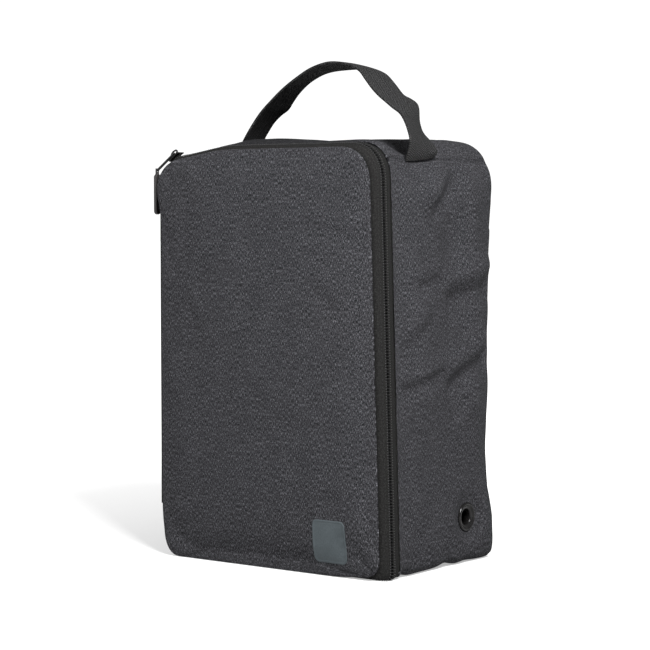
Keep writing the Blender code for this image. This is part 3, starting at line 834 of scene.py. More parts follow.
def press_seams(sheet):
    """Draws the cloth in along the seams at the four corners and round the back."""
    rows = sheet.grid()
    push = np.zeros((sheet.rows, NU))
    for corner, centre in SEAM.items():
        depth = 0.0010 if corner[0] == "t" else 0.0008
        gap = np.linalg.norm(rows - rows[:, centre][:, None], axis=2)
        push -= depth * np.exp(-((gap / 0.0022) ** 2)) * (np.arange(sheet.rows) <= SEAM_ROW)[:, None]
    gap = np.linalg.norm(rows - rows[SEAM_ROW][None], axis=2)
    push -= 0.0009 * np.exp(-((gap / 0.0020) ** 2))
    every = np.zeros(len(sheet.points))
    every[: sheet.rows * NU] = push.ravel()
    sheet.push(every)


def near_eyelet(point):
    return abs(point[0]) > WALL_X and hypot(point[1] - EYELET_Y, point[2] - EYELET_Z) < EYELET_CUT


def round_hole(obj):
    """Moves the cloth's edge round each vent onto a circle under the eyelet's flange."""
    with edited(obj) as bm:
        for vert in bm.verts:
            dy, dz = vert.co.y - EYELET_Y, vert.co.z - EYELET_Z
            away = hypot(dy, dz)
            if vert.is_boundary and abs(vert.co.x) > WALL_X and away < 2 * EYELET_CUT:
                vert.co.y = EYELET_Y + dy / away * EYELET_CUT
                vert.co.z = EYELET_Z + dz / away * EYELET_CUT
    return obj


def flatten_at_vents(sheet):
    """The cloth lies flat under the eyelets' flanges."""
    x, y, z = sheet.points.T
    share = 1 - smoothstep((np.hypot(y - EYELET_Y, z - EYELET_Z) - 0.012) / 0.014)
    for sign, level in ((1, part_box("right_eyelet")[1].x - 0.0016), (-1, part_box("left_eyelet")[0].x + 0.0016)):
        here = (x * sign > WALL_X) * share
        x = x + (level - x) * here
    sheet.points[:, 0] = x


WALLS = (("top", "tl", "tr"), ("right_side", "tr", "br"), ("bottom", "br", "bl"), ("left_side", "bl", "tl"))
PRESSURE, MOST_MOVED = 1.4, 0.0035  # of the tub while it settles


def make_tub():
    sheet = tub_sheet()
    pin = np.zeros(len(sheet.points))
    pin[sheet.row <= 4] = 1.0
    pin[sheet.row == 5] = 0.6
    pin[(sheet.on("bottom", "br", "bl") > 0) & (sheet.row <= SEAM_ROW + 2)] = 1.0
    pin[sheet.row == SEAM_ROW] = np.maximum(pin[sheet.row == SEAM_ROW], 0.4)
    sheet.settle(pin, PRESSURE, MOST_MOVED)
    shape_tub(sheet)
    lift_foot(sheet.points)
    flatten_at_vents(sheet)
    sheet.layers = sheet.normals()
    sheet.base = sheet.points.copy()
    press_seams(sheet)
    sheet.points[:, 2] = np.maximum(sheet.points[:, 2], FLOOR_GAP)

    # the cloth's own coordinates: across, then along the warp
    middle_row = sheet.grid()[20]
    steps = np.linalg.norm(np.roll(middle_row, -1, 0) - middle_row, axis=1)
    along = np.concatenate([[0], np.cumsum(steps)[:-1]])
    past_start = np.where(np.arange(NU) <= SEAM["tl"], steps.sum(), 0.0)
    warp = np.zeros(len(sheet.points))
    column = np.tile(np.arange(NU), sheet.rows)
    low_row = sheet.row[sheet.faces].min(1)
    for name, first, last in WALLS:
        wanted = set(c % NU for c in columns_between(SEAM[first], SEAM[last])[:-1])
        starts = np.array([column[f[0]] in wanted if f[0] < len(column) else False for f in sheet.faces])
        keep = starts & (low_row < SEAM_ROW)
        warp[: sheet.rows * NU] = np.tile(along + (past_start if name == "left_side" else 0), sheet.rows)
        sheet.coords = np.stack([sheet.points[:, 1], warp, warp * 0], 1)
        piece = sheet.piece(f"{name}_cloth", keep, drop=near_eyelet if "side" in name else None)
        if "side" in name:
            round_hole(piece)
        # the top panel takes the copy of the cloth with painted shade
        cloth = HEATHER_TOP_PAINTED_SHADE if name == "top" else HEATHER
        dress(solid(piece, CLOTH), cloth, "bag", "heather_fabric", f"{name}_panel")
    sheet.coords = sheet.points[:, [0, 2, 1]].copy()
    back = sheet.piece("back_cloth", low_row >= SEAM_ROW)
    dress(solid(back, CLOTH), HEATHER, "bag", "heather_fabric", "back_panel")

    at_seam = (low_row >= SEAM_ROW - 3) & (low_row < SEAM_ROW + 3)
    foam = round_hole(sheet.piece("tub_padding", (low_row >= 4) & ~at_seam, FOAM_DEPTH, near_eyelet))
    dress(
        solid(foam, FOAM), FOAM_CELLS, "bag", "foam_sheet",
        "top_foam", "right_side_foam", "bottom_foam", "left_side_foam", "back_foam",
    )
    lining = round_hole(sheet.piece("tub_lining", low_row >= 3, LINING_DEPTH, near_eyelet))
    dress(solid(lining, LINING), LINING_CLOTH, "bag", "lining_cloth", "body_lining")
    round_seam = (low_row >= SEAM_ROW - 6) & (low_row < SEAM_ROW + 5)
    binding = sheet.piece("rear_binding", round_seam, LINING_DEPTH + 0.0008)
    dress(solid(binding, BINDING), TAPE, "bag", "lining_cloth", "rear_seam_binding")
    return sheet


# ---------------------------------------------------------------- the door's panel

EDGE_ROWS = (  # (outwards, behind the front face) of the panel's rolled edge
    (-0.0012, 0.0036), (-0.0001, 0.0030), (0.0005, 0.0020),
    (0.0004, 0.0008), (-0.0006, -0.0004), (-0.0024, -0.0012),
)


def front_ring(depth):
    """The front panel's outline, drawn in by depth."""
    low = (LEFT + 0.0024, RIGHT - STRIP_STEP, -0.0002, HEIGHT - 0.0012)
    points = shrunk_ring(*low, FRONT_RADII, depth) if depth > 0 else ring(*low, FRONT_RADII)
    points[:, 0] += 0.0030 * bump_at(points[:, 1], 0.010, 0.020) * smoothstep(-points[:, 0] / RIGHT)
    points[:, 0] -= 0.0046 * bump_at(points[:, 1], 0.317, 0.016) * smoothstep(-points[:, 0] / RIGHT)
    points[:, 1] += 0.0030 * smoothstep((points[:, 0] - 0.05) / 0.05) * (1 - smoothstep(points[:, 1] / 0.020))
    share = smoothstep(points[:, 0] / (RIGHT - STRIP_STEP))
    points[:, 0] += share * (FRONT_FOOT_X - RIGHT - 0.0024 - FRONT_LEAN * points[:, 1])
    return lower_top(points, 0.0)


def ring_normals(points):
    along = np.roll(points, -1, 0) - np.roll(points, 1, 0)
    out = np.stack([-along[:, 1], along[:, 0]], 1)
    return out / np.maximum(np.linalg.norm(out, axis=1, keepdims=True), 1e-9)


FRONT_CREASES = (  # (x, z) of the two ends, width, depth: faint folds of the front panel
    ((0.040, 0.281), (0.098, 0.265), 0.0060, 0.0010),
    ((0.046, 0.238), (0.076, 0.202), 0.0060, 0.0009),
    ((0.010, 0.121), (0.066, 0.114), 0.0060, 0.0007),
    ((0.058, 0.060), (0.082, 0.069), 0.0040, 0.0009),
    ((-0.106, 0.259), (-0.088, 0.233), 0.0040, 0.0011),
    ((-0.082, 0.220), (-0.066, 0.186), 0.0050, 0.0008),
)


FRONT_SWELLS = (  # height, then x and its reach, then z and its reach
    (0.0014, 0.0, 0.085, 0.17, 0.13), (0.0016, 0.02, 0.05, 0.21, 0.08),
    (0.0013, -0.040, 0.020, 0.25, 0.07), (-0.0012, 0.075, 0.018, 0.25, 0.09),
)


def shape_front(sheet):
    x, _, z = sheet.points.T
    inner = smoothstep((sheet.row - 4) / 5.0)
    inner[sheet.row >= sheet.rows - 1] = 1.0
    push = swells(x, z, FRONT_SWELLS)
    push -= 0.0018 * bump_at(x + 0.06 * z, -0.072, 0.014) * bump_at(z, 0.22, 0.08)
    push -= 0.0028 * bump_at(z, 0.0, 0.028)
    # small puckers at the left edge under the pull
    push -= 0.0016 * bump_at(z + 0.35 * (x - LEFT), 0.300, 0.006) * bump_at(x, LEFT + 0.010, 0.016)
    push -= 0.0012 * bump_at(z - 0.30 * (x - LEFT), 0.262, 0.007) * bump_at(x, LEFT + 0.012, 0.018)
    for start, end, width, depth in FRONT_CREASES:
        push += crease(x, z, start, end, width, depth)
    push += sheet.unevenness(0.0012, 15.0, (7, 3, 1))
    push += sheet.unevenness(0.0004, 50.0, (1, 8, 4))
    sheet.points[:, 1] -= push * inner


def make_door_panel():
    edge = front_ring(0.0)
    out = ring_normals(edge)
    rows = [with_y(edge + out * away, FRONT + behind) for away, behind in EDGE_ROWS]
    for depth in (0.0055, 0.0095):
        rows.append(with_y(front_ring(depth), FRONT - 0.0016 - 0.04 * depth))
    sheet = Sheet(rows, closed=True, outward=-1)
    pin = np.zeros(len(sheet.points))
    pin[sheet.row < 3] = 1.0
    pin[sheet.row == 3] = 0.5
    sheet.settle(pin, 1.0, 0.0030)
    shape_front(sheet)
    sheet.points[:, 2] = np.maximum(sheet.points[:, 2], FRONT_FLOOR_GAP)
    sheet.coords = sheet.points[:, [0, 2, 1]].copy()
    low_row = sheet.row[sheet.faces].min(1)
    dress(solid(sheet.piece("front_cloth"), CLOTH), HEATHER, "door", "heather_fabric", "front_panel")
    foam = sheet.piece("front_padding", low_row >= 4, FOAM_DEPTH)
    dress(solid(foam, FOAM), FOAM_CELLS, "door", "foam_sheet", "front_foam")
    lining = sheet.piece("front_lining_cloth", low_row >= 4, LINING_DEPTH)
    dress(solid(lining, LINING), LINING_CLOTH, "door", "lining_cloth", "front_lining")
    binding = sheet.piece("front_binding", (low_row >= 4) & (low_row < 7), 0.0038)
    dress(solid(binding, BINDING), TAPE, "door", "lining_cloth", "front_seam_binding")
    return sheet


# ---------------------------------------------------------------- the zip

TAPE_COLUMNS = columns_between(TAIL_START, NU)
TAPE_THICK = 0.0007
SLIT_HALF = 0.0013  # half the gap between the two halves of the tape
BEAD_RISE, BEAD_REACH = 0.00012, 0.0012
TOOTH_PITCH = 0.0025
COIL_PITCH = 0.0020
COIL_HALF_WIDTH, COIL_HALF_DEPTH, COIL_WIRE = 0.0013, 0.00062, 0.00034
STRIP_SHARES = np.linspace(0.0, 1.0, 25)


def strip_grid():
    """The zip's strip, from under the front panel's edge round to the tub's rim, in STRIP_SHARES."""
    start = front_ring(0.0)
    start = start - ring_normals(start) * 0.0022
    outer = tub_ring(BODY_Y)
    a = with_y(start, FRONT + 0.0034)
    b = with_y(outer - ring_normals(outer) * 0.0018, BODY_Y + 0.0020)
    corner = with_y(outer + ring_normals(outer) * 0.0004, FRONT + 0.0046)
    corner[:, 2] -= 0.0050 * smoothstep((corner[:, 0] - 0.05) / 0.05) * (1 - smoothstep(corner[:, 2] / 0.020))
    shares = STRIP_SHARES[:, None, None]
    grid = a * (1 - shares) ** 2 + 2 * corner * shares * (1 - shares) + b * shares**2
    grid[..., 2] = np.maximum(grid[..., 2], 0.0008)
    return grid


def strip_at(grid, y):
    """The strip's points where it crosses this y, one for each station."""
    points = np.zeros((NU, 3))
    for column in range(NU):
        ys = grid[:, column, 1]
        share = np.interp(y, ys, np.arange(len(ys)))
        low = int(min(share, len(ys) - 2))
        points[column] = grid[low, column] + (grid[low + 1, column] - grid[low, column]) * (share - low)
    return points


def spread(line, count, values=None, ends=True):
    """The line's points, or the values at them, at count places evenly spaced along it."""
    values = line if values is None else values
    at = np.linspace(0, 1, count, endpoint=ends)
    return np.stack([np.interp(at, share_along(line), values[:, i]) for i in range(values.shape[1])], 1)


def resample(line, spacing, count=None):
    """Points evenly spaced along an open line, as many as the spacing gives unless there is a count."""
    length = np.linalg.norm(np.diff(line, axis=0), axis=1).sum()
    return spread(line, count or max(2, int(round(length / spacing)) + 1))


def tape_half(name, grid, y_low, y_high, body, node):
    half = np.array([strip_at(grid, y) for y in np.linspace(y_low, y_high, 9)])
    # the woven edge at the teeth stands up in a low bead
    bead = BEAD_RISE * bump_at(half[..., 1], TEETH_Y, BEAD_REACH)
    half = half + normals_of(half) * bead[..., None]
    coords = np.zeros(half.shape)
    coords[..., 0] = half[..., 1]
    steps = np.linalg.norm(np.roll(half[4], -1, 0) - half[4], axis=1)
    coords[..., 1] = np.concatenate([[0], np.cumsum(steps)[:-1]])[None, :]
    tape = grid_object(name, half, coords, TAPE_COLUMNS)
    return dress(solid(tape, TAPE_THICK), TAPE, body, "zip_tape", node)


CAPSULE = ((-0.5, 0.0), (-0.36, 0.8), (0.0, 1.0), (0.36, 0.8), (0.5, 0.0))  # (along, radius), as shares
CAPSULE_FLATTENED = 0.7


def capsules(name, centres, directions, ups, length, radius, sides=6):
    """Many short threads in one mesh: each a little closed capsule, flattened along ups."""
    points = []
    faces = []
    for centre, direction, up in zip(centres, directions, ups):
        side = np.cross(direction, up)
        rings = []
        for along, share in CAPSULE:
            middle = centre + direction * length * along
            if share == 0:
                rings.append([len(points)])
                points.append(middle)
                continue
            here = []
            for k in range(sides):
                angle = 2 * pi * k / sides
                here.append(len(points))
                spoke = side * cos(angle) + up * sin(angle) * CAPSULE_FLATTENED
                points.append(middle + radius * share * spoke)
            rings.append(here)
        for near, far in zip(rings, rings[1:]):
            if len(near) == len(far):
                faces += band(near[0], far[0], sides)
                continue
            for k in range(sides):
                j = (k + 1) % sides
                faces.append((near[0], far[j], far[k]) if len(near) == 1 else (near[k], near[j], far[0]))
    made = mesh_object(name, points, faces)
    fix_normals(made)
    return made


def line_frames(line, out_hint):
    """Directions along a line, and unit vectors across it that point as out_hint does."""
    along = np.gradient(line, axis=0)
    along /= np.maximum(np.linalg.norm(along, axis=1, keepdims=True), 1e-12)
    out = out_hint - along * (out_hint * along).sum(1, keepdims=True)
    out /= np.maximum(np.linalg.norm(out, axis=1, keepdims=True), 1e-12)
    return along, out


def strip_line(grid, y, spacing, count=None):
    """An even line along the strip at this y, with directions along and out of it."""
    line = resample(strip_at(grid, y)[np.array(TAPE_COLUMNS) % NU], spacing, count)
    middle = np.array([0.0, 0.0, HEIGHT / 2])
    hint = line - middle
    hint[:, 1] = 0
    flat = np.zeros_like(hint)
    # outwards, square to the line in the XZ plane
    along = np.gradient(line, axis=0)
    flat[:, 0] = -along[:, 2]
    flat[:, 2] = along[:, 0]
    flat *= np.sign((flat * hint).sum(1, keepdims=True))
    return line, *line_frames(line, flat)


def make_coil(name, grid, side, body, node):
    """Half of the coil: one loop of nylon for each tooth, under the tape."""
    line, along, out = strip_line(grid, TEETH_Y + side * 0.0011, COIL_PITCH)
    y_axis = np.array([0.0, side, 0.0])
    centres = line - out * 0.0015
    points = []
    faces = []
    sides = 5
    steps = 7
    for centre, direction, up in zip(centres, along, out):
        previous = None
        for k in range(steps):
            angle = 2 * pi * k / (steps - 1) * 0.86 + 0.45
            middle = centre - y_axis * COIL_HALF_WIDTH * cos(angle) + up * COIL_HALF_DEPTH * sin(angle)
            middle = middle + direction * COIL_PITCH * 0.42 * (k / (steps - 1) - 0.5)
            tangent = y_axis * COIL_HALF_WIDTH * sin(angle) + up * COIL_HALF_DEPTH * cos(angle)
            tangent /= np.linalg.norm(tangent)
            across = np.cross(tangent, direction)
            here = []
            for j in range(sides):
                turn = 2 * pi * j / sides
                here.append(len(points))
                points.append(middle + COIL_WIRE * (across * cos(turn) + direction * sin(turn)))
            faces += band(previous[0], here[0], sides) if previous else [tuple(reversed(here))]
            previous = here
        faces.append(tuple(previous))
    coil = mesh_object(name, points, faces)
    fix_normals(coil)
    return dress(coil, COIL_NYLON, body, "zip_coil", node)


def slider_path(points):
    """True where the slider's body stands, anywhere on its travel."""
    joint = JOINTS["slider_travel"]
    centre = Vector(joint["pos_m"])
    low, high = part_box("slider_body")
    hit = np.zeros(len(points), bool)
    for share in (0.0, 0.25, 0.5, 0.75, 1.0):
        back = Matrix.Rotation(-share * radians(joint["range_deg"][1]), 3, Vector(joint["axis"]))
        for number, point in enumerate(points):
            here = back @ (Vector(point) - centre) + centre
            hit[number] |= all(a - 0.0006 < x < b + 0.0006 for a, x, b in zip(low, here, high))
    return hit


def make_zip():
    grid = strip_grid()
    tape_half("door_tape", grid, FRONT + 0.0035, TEETH_Y - SLIT_HALF, "door", "door_zip_tape")
    tape_half("body_tape", grid, TEETH_Y + SLIT_HALF, BODY_Y + 0.0010, "bag", "body_zip_tape")
    make_coil("door_coil", grid, -1, "door", "door_zip_coil")
    make_coil("body_coil", grid, 1, "bag", "body_zip_coil")
    tooth_count = len(strip_line(grid, TEETH_Y, TOOTH_PITCH)[0])
    # the coil is sewn on through the tape: a row of cross stitches on each side of the teeth
    for side, body in ((-1, "door"), (1, "bag")):
        line, along, out = strip_line(grid, TEETH_Y + side * 0.0022, 0.0020)
        across = np.cross(along, out)
        threads = capsules(f"{body}_coil_stitches", line + out * 0.00042, across, out, 0.0013, 0.00036)
        dress(threads, GREY_THREAD, body, "zip_coil")
        # the teeth fill the slit, and leave a dark dot between each two
        line, along, out = strip_line(grid, TEETH_Y + side * 0.00065, None, tooth_count)
        clear = ~slider_path(line)
        line, along, out = line[clear], along[clear], out[clear]
        teeth = capsules(f"{body}_teeth", line + out * 0.00002, np.cross(along, out), out, 0.0017, 0.00042)
        dress(teeth, TOOTH, body, "zip_coil")
    # topstitching that holds each half to the cloth
    for y, body in ((FRONT + 0.0066, "door"), (BODY_Y - 0.0012, "bag")):
        line, along, out = strip_line(grid, y, 0.0030)
        threads = capsules(f"{body}_tape_stitches", line + out * 0.00012, along, out, 0.0021, 0.00022)
        dress(threads, DARK_THREAD, body, "zip_tape")


# ---------------------------------------------------------------- the handle

# The webbing's front and rear edges, as (x, z), from its left root over the top to its right root.
STRAP_FRONT = (
    (-0.086, 0.340), (-0.080, 0.350), (-0.0705, 0.362), (-0.059, 0.374), (-0.046, 0.384), (-0.032, 0.3935),
    (-0.016, 0.402), (-0.001, 0.4085), (0.014, 0.4120), (0.025, 0.4125), (0.037, 0.4108), (0.046, 0.408),
    (0.054, 0.404), (0.060, 0.3975), (0.0675, 0.3895), (0.0745, 0.3835), (0.081, 0.379), (0.089, 0.3735),
    (0.097, 0.3685), (0.102, 0.362), (0.1055, 0.3545), (0.1085, 0.346), (0.1082, 0.3390), (0.1047, 0.3303),
)
STRAP_REAR = (
    (-0.085, 0.342), (-0.0785, 0.353), (-0.0725, 0.3605), (-0.066, 0.3675), (-0.0575, 0.3735), (-0.049, 0.378),
    (-0.0435, 0.384), (-0.037, 0.3905), (-0.029, 0.3965), (-0.020, 0.4015), (-0.0075, 0.406), (0.005, 0.408),
    (0.0185, 0.4085), (0.030, 0.4085), (0.040, 0.4082), (0.050, 0.4065), (0.059, 0.4033), (0.0645, 0.400),
    (0.072, 0.393), (0.0805, 0.3845), (0.088, 0.381), (0.0942, 0.3774), (0.0966, 0.373), (0.0975, 0.363),
    (0.100, 0.3555), (0.1045, 0.3465), (0.1080, 0.3400), (0.1086, 0.3380), (0.1060, 0.3340),
)
STRAP_SLOPE = -0.13  # y against x along the strap
STRAP_Y = -0.006
STRAP_HALF = 0.0138
STRAP_THICK = 0.0019
STRAP_STEP = 0.0010
STRAP_ROWS = 330
STRAP_ACROSS = 15


def curve_through(points, count):
    """count points evenly spaced along a Catmull-Rom curve through these points."""
    p = np.array(points, float)
    p = np.concatenate([[2 * p[0] - p[1]], p, [2 * p[-1] - p[-2]]])
    fine = []
    for a, b, c, d in zip(p, p[1:], p[2:], p[3:]):
        for t in np.arange(8) / 8:
            bend = (2 * a - 5 * b + 4 * c - d) * t**2 + (3 * b - a - 3 * c + d) * t**3
            fine.append(b + ((c - a) * t + bend) / 2)
    return spread(np.array(fine + [p[-2]]), count)


def make_handle():
    count = STRAP_ROWS
    front = curve_through(STRAP_FRONT, count)
    rear = curve_through(STRAP_REAR, count)
    middle = (front + rear) / 2
    across = np.linspace(-1, 1, STRAP_ACROSS)
    tangent = np.gradient(middle, axis=0)
    tangent /= np.linalg.norm(tangent, axis=1, keepdims=True)
    out = np.stack([-tangent[:, 1], tangent[:, 0]], 1)
    right_foot = smoothstep((middle[:, 0] - 0.098) / 0.010) * smoothstep((0.356 - middle[:, 1]) / 0.016)
    rows = []
    for place in across:
        share = (place + 1) / 2
        xz = front * (1 - share) + rear * share
        half = STRAP_HALF + 0.0062 * right_foot
        # a slight crown, and the woven edge's little loops
        crown = 0.0011 * (1 - place**2) * (1 - 0.6 * right_foot)
        xz = xz + out * crown[:, None]
        loops = 0.00022 * np.cos(2 * pi * np.arange(count) / 2.0) * (abs(place) == 1)
        y = STRAP_Y + STRAP_SLOPE * middle[:, 0] + 0.0040 * right_foot + place * (half + loops)
        rows.append(np.stack([xz[:, 0], y, xz[:, 1]], 1))
    grid = np.array(rows)
    coords = np.zeros(grid.shape)
    coords[..., 0] = (across * STRAP_HALF)[:, None]
    coords[..., 1] = (np.arange(count) * STRAP_STEP)[None, :]
    strap = apply_modifiers(thicken(grid_object("handle_strap", grid[::-1], coords), STRAP_THICK))
    soften = strap.modifiers.new("soften", "BEVEL")
    soften.width = 0.0005
    soften.segments = 2
    soften.limit_method = "ANGLE"
    apply_modifiers(strap)
    strap.data.shade_smooth()
    dress(strap, WEBBING, None, "webbing", "handle_webbing", "handle_end_left", "handle_end_right")
    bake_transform(strap)


# ---------------------------------------------------------------- hard pieces


def lathe(name, profile, centre, sign, steps=72):
    """A ring turned about X through centre. Its profile holds (radius, distance outwards)."""
    points = []
    faces = []
    count = len(profile)
    for step in range(steps):
        angle = 2 * pi * step / steps
        for radius, away in profile:
            turned = (sign * away, radius * cos(angle), radius * sin(angle))
            points.append(Vector(centre) + Vector(turned))
        faces += band(step * count, (step + 1) % steps * count, count)
    obj = mesh_object(name, points, faces)
    fix_normals(obj)
    return obj


EYELET_PROFILE = (  # (radius, distance outwards): the barrel, the rolled lip, the rim and the flange's back
    (0.0066, -0.0058), (0.0066, -0.0006), (0.0068, 0.0001), (0.0073, 0.0005), (0.0082, 0.0006),
    (0.0090, 0.0008), (0.0095, 0.0014), (0.0103, 0.0020), (0.0112, 0.0019), (0.0119, 0.0012),
    (0.0122, 0.0004), (0.0122, -0.0004),
    (0.0118, -0.0006), (0.0086, -0.0004), (0.0080, -0.0010), (0.0079, -0.0058),
)


def make_eyelets():
    for side, sign in (("right", 1), ("left", -1)):
        low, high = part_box(f"{side}_eyelet")
        face = high.x if sign > 0 else low.x
        centre = (face - sign * 0.0014, EYELET_Y, EYELET_Z)
        eyelet = lathe(f"{side}_vent_ring", EYELET_PROFILE, centre, sign)
        dress(eyelet, METAL, "bag", "black_metal", f"{side}_eyelet")
        low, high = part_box(f"{side}_eyelet_washer")
        thick = (high.x - low.x) / 2
        outer = (high.z - low.z) / 2
        hole, chamfer = 0.0082, (outer - 0.0003, thick)
        washer = [(hole, -thick), (hole, thick), chamfer, (outer, thick - 0.0002), (outer, -thick)]
        ring_obj = lathe(f"{side}_vent_washer", washer, ((low.x + high.x) / 2, EYELET_Y, EYELET_Z), sign)
        dress(ring_obj, METAL, "bag", "black_metal", f"{side}_eyelet_washer")


def refined(node, name, width, segments=3):
    """A copy of a CAD piece with its edges rounded."""
    source = next(o for o in bpy.data.objects if o.name == node)
    obj = bpy.data.objects.new(name, source.data.copy())
    obj.data.transform(source.matrix_world)
    bpy.context.scene.collection.objects.link(obj)
    clean(obj)
    bevel = obj.modifiers.new("edge", "BEVEL")
    bevel.width = width
    bevel.segments = segments
    bevel.limit_method = "ANGLE"
    bevel.angle_limit = radians(35)
    bevel.harden_normals = False
    obj.data.shade_smooth()
    return obj


def clean(obj):
    with edited(obj) as bm:
        bmesh.ops.remove_doubles(bm, verts=bm.verts, dist=0.00002)
        bmesh.ops.dissolve_limit(bm, angle_limit=radians(1), verts=bm.verts, edges=bm.edges)


CORD_HALF_WIDTH, CORD_STRAND = 0.0009, 0.00070  # of the loop, and of the cord itself
CORD_STEP, CORD_TWIST = 0.00030, 0.0011


def make_cord():
    """The braided loop between the slider's bridge and the grip, twisted from two strands."""
    top = Vector(JOINTS["pull_cord_swing"]["pos_m"])
    foot = Vector(JOINTS["pull_grip_swing"]["pos_m"])
    along = (foot - top).normalized()
    side = Vector((0, 1, 0))
    normal = along.cross(side)
    half = CORD_HALF_WIDTH
    centre_line = []
    for centre, start in ((top + along * half, pi / 2), (foot - along * half, -pi / 2)):
        for k in range(17):
            angle = start + pi * k / 16
            centre_line.append(centre + (along * cos(angle) + side * sin(angle)) * half)
    line = resample(np.array([tuple(p) for p in centre_line + centre_line[:1]]), CORD_STEP)[:-1]
    tangent = np.roll(line, -1, 0) - np.roll(line, 1, 0)
    tangent /= np.linalg.norm(tangent, axis=1, keepdims=True)
    up = np.array(normal)
    points, faces = [], []
    sides = 12
    for k, (p, t) in enumerate(zip(line, tangent)):
        across = np.cross(t, up)
        for j in range(sides):
            turn = 2 * pi * j / sides
            radius = CORD_STRAND * (1 + 0.10 * cos(2 * (turn - k * CORD_STEP / CORD_TWIST * pi)))
            points.append(p + radius * (across * cos(turn) + up * sin(turn)))
        faces += band(k * sides, (k + 1) % len(line) * sides, sides)
    cord = mesh_object("pull_cord_braid", points, faces)
    fix_normals(cord)
    dress(cord, CORD_BRAID, "pull_cord", "pull_cord", "pull_cord_loop")


def make_slider():
    dress(refined("slider_body", "slider_shell", 0.00025), METAL, "slider", "black_metal", "slider_body")
    dress(refined("slider_crown", "slider_bridge", 0.00004, 1), METAL, "slider", "black_metal", "slider_crown")
    make_cord()
    dress(refined("pull_tab", "pull_grip_bar", 0.0006), RUBBER, "pull_grip", "grip_rubber", "pull_tab")
    dress(refined("base_board", "stiffener_board", 0.0004), BOARD, "bag", "base_board", "base_board")


# ---------------------------------------------------------------- the patch

PATCH_RADIUS = 0.0045
PATCH_POINTS = 120  # in each ring of its outline
PATCH_RINGS = (  # (inwards from the edge, height over the cloth)
    (0.0, -0.0002), (0.0, 0.00028), (0.0003, 0.00042), (0.0014, 0.00042), (0.0017, 0.00026), (0.0022, 0.00024),
    *((inwards, 0.00024) for inwards in (0.004, 0.0065, 0.009, 0.0115, 0.014)),
)


def make_patch(door):
    """A plain rounded patch with a raised border, lying on the front panel's curve."""
    low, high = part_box("front_patch")
    cx, cz = (low.x + high.x) / 2, (low.z + high.z) / 2
    hx, hz = (high.x - low.x) / 2, (high.z - low.z) / 2
    tree = BVHTree.FromPolygons([Vector(p) for p in door.points], [tuple(map(int, f)) for f in door.faces])
    points = []
    faces = []
    for number, (inwards, rise) in enumerate(PATCH_RINGS):
        r = max(PATCH_RADIUS - inwards, 0.0008)
        outline = []
        for sx, sz, start in ((1, 1, 90), (1, -1, 0), (-1, -1, -90), (-1, 1, 180)):
            corner = (cx + sx * (hx - inwards - r), cz + sz * (hz - inwards - r))
            for k in range(7):
                angle = radians(start - 15 * k)
                outline.append((corner[0] + r * cos(angle), corner[1] + r * sin(angle)))
        for x, z in spread(np.array(outline + outline[:1]), PATCH_POINTS, ends=False):
            hit = tree.ray_cast(Vector((x, -0.2, z)), Vector((0, 1, 0)))[0]
            points.append((x, hit.y - rise, z))
        if number:
            faces += band((number - 1) * PATCH_POINTS, number * PATCH_POINTS, PATCH_POINTS)
    faces.append(tuple(range(len(points) - PATCH_POINTS, len(points))))
    patch = mesh_object("slate_patch", points, faces)
    fix_normals(patch)
    dress(patch, PRINT, "door", "patch_print", "front_patch")


# ---------------------------------------------------------------- the hinge seam

HINGE_FOLD = (  # (x, y) from the left wall, round the fold, to behind the front panel
    (-0.1125, -0.0640), (-0.1135, -0.0690), (-0.1143, -0.0735), (-0.1149, -0.0770),
    (-0.1135, -0.0784), (-0.1100, -0.0776), (-0.1050, -0.0768),
)


def make_hinge():
    """The folded tape that joins the door to the left wall between the zip's ends."""
    line = curve_through(HINGE_FOLD, 17)
    heights = np.linspace(TAIL_BOTTOM - 0.004, TAIL_TOP + 0.004, 60)
    grid = np.array([[(x, y, z) for z in heights] for x, y in line])
    coords = np.array([[(k * 0.0018, z, 0) for z in heights] for k in range(len(line))])
    fold = apply_modifiers(thicken(grid_object("hinge_fold", grid, coords), BINDING))
    dress(fold, TAPE, None, "zip_tape")
    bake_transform(fold)


# ---------------------------------------------------------------- topstitching on the walls


def seam_stitches(sheet, corner, away):
    """A row of thread above a corner seam, from the zip to the back."""
    rows = slice(5, SEAM_ROW - 4)
    grid = sheet.grid()[rows]
    normal = sheet.normals()[: sheet.rows * NU].reshape(sheet.rows, NU, 3)[rows]
    line = []
    hint = []
    for points, normals in zip(grid, normal):
        gone = 0.0
        column = SEAM[corner]
        while gone < away:
            after = column - 1
            gone += np.linalg.norm(points[after] - points[column])
            column = after
        line.append(points[column])
        hint.append(normals[column])
    line = np.array(line)
    fine = resample(line, 0.0031)
    along, out = line_frames(fine, spread(line, len(fine), np.array(hint)))
    threads = capsules(f"{corner}_topstitch_above", fine + out * 0.00005, along, out, 0.0022, 0.00024)
    dress(threads, GREY_THREAD, "bag", "heather_fabric")


# ---------------------------------------------------------------- camera, light and floor


BACKDROP = 1.1  # brightness of the white behind the bag
AMBIENT = 0.44  # brightness of that white as a light
CAMERA_LENS = 110.2
CAMERA_PLACE = (0.983, -1.353, 0.288)
CAMERA_TARGET = Vector((0, 0, 0.1951))
LIGHTS = (("key", (1.10, -0.68, 1.25), 0.5, 76), ("fill", (-0.50, -1.70, 0.95), 1.0, 30))  # place, size, watts


def make_camera():
    data = bpy.data.cameras.new("camera")
    data.lens = CAMERA_LENS
    data.sensor_width = 36.0
    data.clip_start = 0.05
    camera = bpy.data.objects.new("camera", data)
    bpy.context.scene.collection.objects.link(camera)
    camera.location = CAMERA_PLACE
    camera.rotation_euler = (CAMERA_TARGET - camera.location).to_track_quat("-Z", "Y").to_euler()
    bpy.context.scene.camera = camera


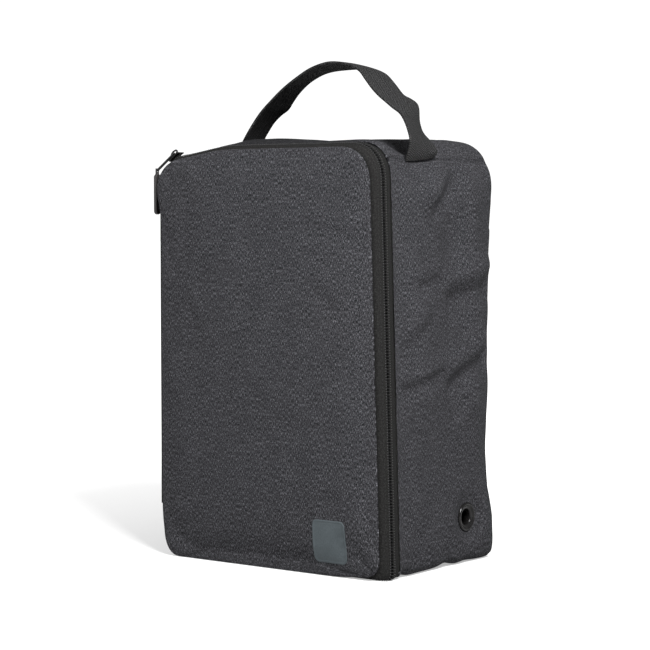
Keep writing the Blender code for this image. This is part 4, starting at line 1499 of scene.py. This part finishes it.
def make_light(name, place, size, power):
    data = bpy.data.lights.new(name, "AREA")
    data.size = size
    data.energy = power
    lamp = bpy.data.objects.new(name, data)
    lamp.location = place
    lamp.rotation_euler = (Vector((0, 0, 0.25)) - lamp.location).to_track_quat("-Z", "Y").to_euler()
    bpy.context.scene.collection.objects.link(lamp)


def make_studio():
    world = bpy.data.worlds.new("studio")
    bpy.context.scene.world = world
    world.use_nodes = True
    tree = world.node_tree
    seen = tree.nodes.new("ShaderNodeLightPath").outputs["Is Camera Ray"]
    strength = tree.nodes.new("ShaderNodeMath")
    strength.operation = "MULTIPLY_ADD"
    tree.links.new(seen, strength.inputs[0])
    strength.inputs[1].default_value = BACKDROP - AMBIENT
    strength.inputs[2].default_value = AMBIENT
    tree.links.new(strength.outputs[0], tree.nodes["Background"].inputs["Strength"])
    tree.nodes["Background"].inputs["Color"].default_value = (1, 1, 1, 1)
    for name, place, size, power in LIGHTS:
        make_light(name, place, size, power)
    bpy.ops.mesh.primitive_plane_add(size=30, location=(0, 0, 0))
    floor = bpy.context.object
    floor.name = "floor"
    s = Shader("floor_paper_painted_glow")
    # the paper is made darker close to the bag, so that it bounces less light onto the bag
    far = s.node("ShaderNodeVectorMath", operation="LENGTH")
    s.tree.links.new(s.place(), far.inputs[0])
    grain = s.noise(s.place((40, 40, 40)), 1.0, 2.0)
    reach = s.math("MULTIPLY_ADD", grain, 0.02, far.outputs["Value"])
    s.set(colour=s.ramp(reach, (0.10, 0.45), (0.90, 0.80)), roughness=0.9, specular=0.1)
    # painted light: seen from the camera only, the paper glows, the more the further from the bag, and goes on to
    # white as far as the horizon
    seen = s.node("ShaderNodeLightPath").outputs["Is Camera Ray"]
    painted_glow = s.math("MULTIPLY", seen, s.math("MINIMUM", s.math("MULTIPLY_ADD", reach, 0.30, 0.38), 0.85))
    s.surface.inputs["Emission Color"].default_value = (1, 1, 1, 1)
    s.tree.links.new(painted_glow, s.surface.inputs["Emission Strength"])
    floor.data.materials.append(s.material)
    bpy.context.scene.view_settings.view_transform = "Standard"


make_camera()
make_studio()
TUB = make_tub()
DOOR = make_door_panel()
make_zip()
make_hinge()
make_handle()
make_eyelets()
make_slider()
make_patch(DOOR)
seam_stitches(TUB, "tr", 0.0016)
seam_stitches(TUB, "tl", 0.0020)
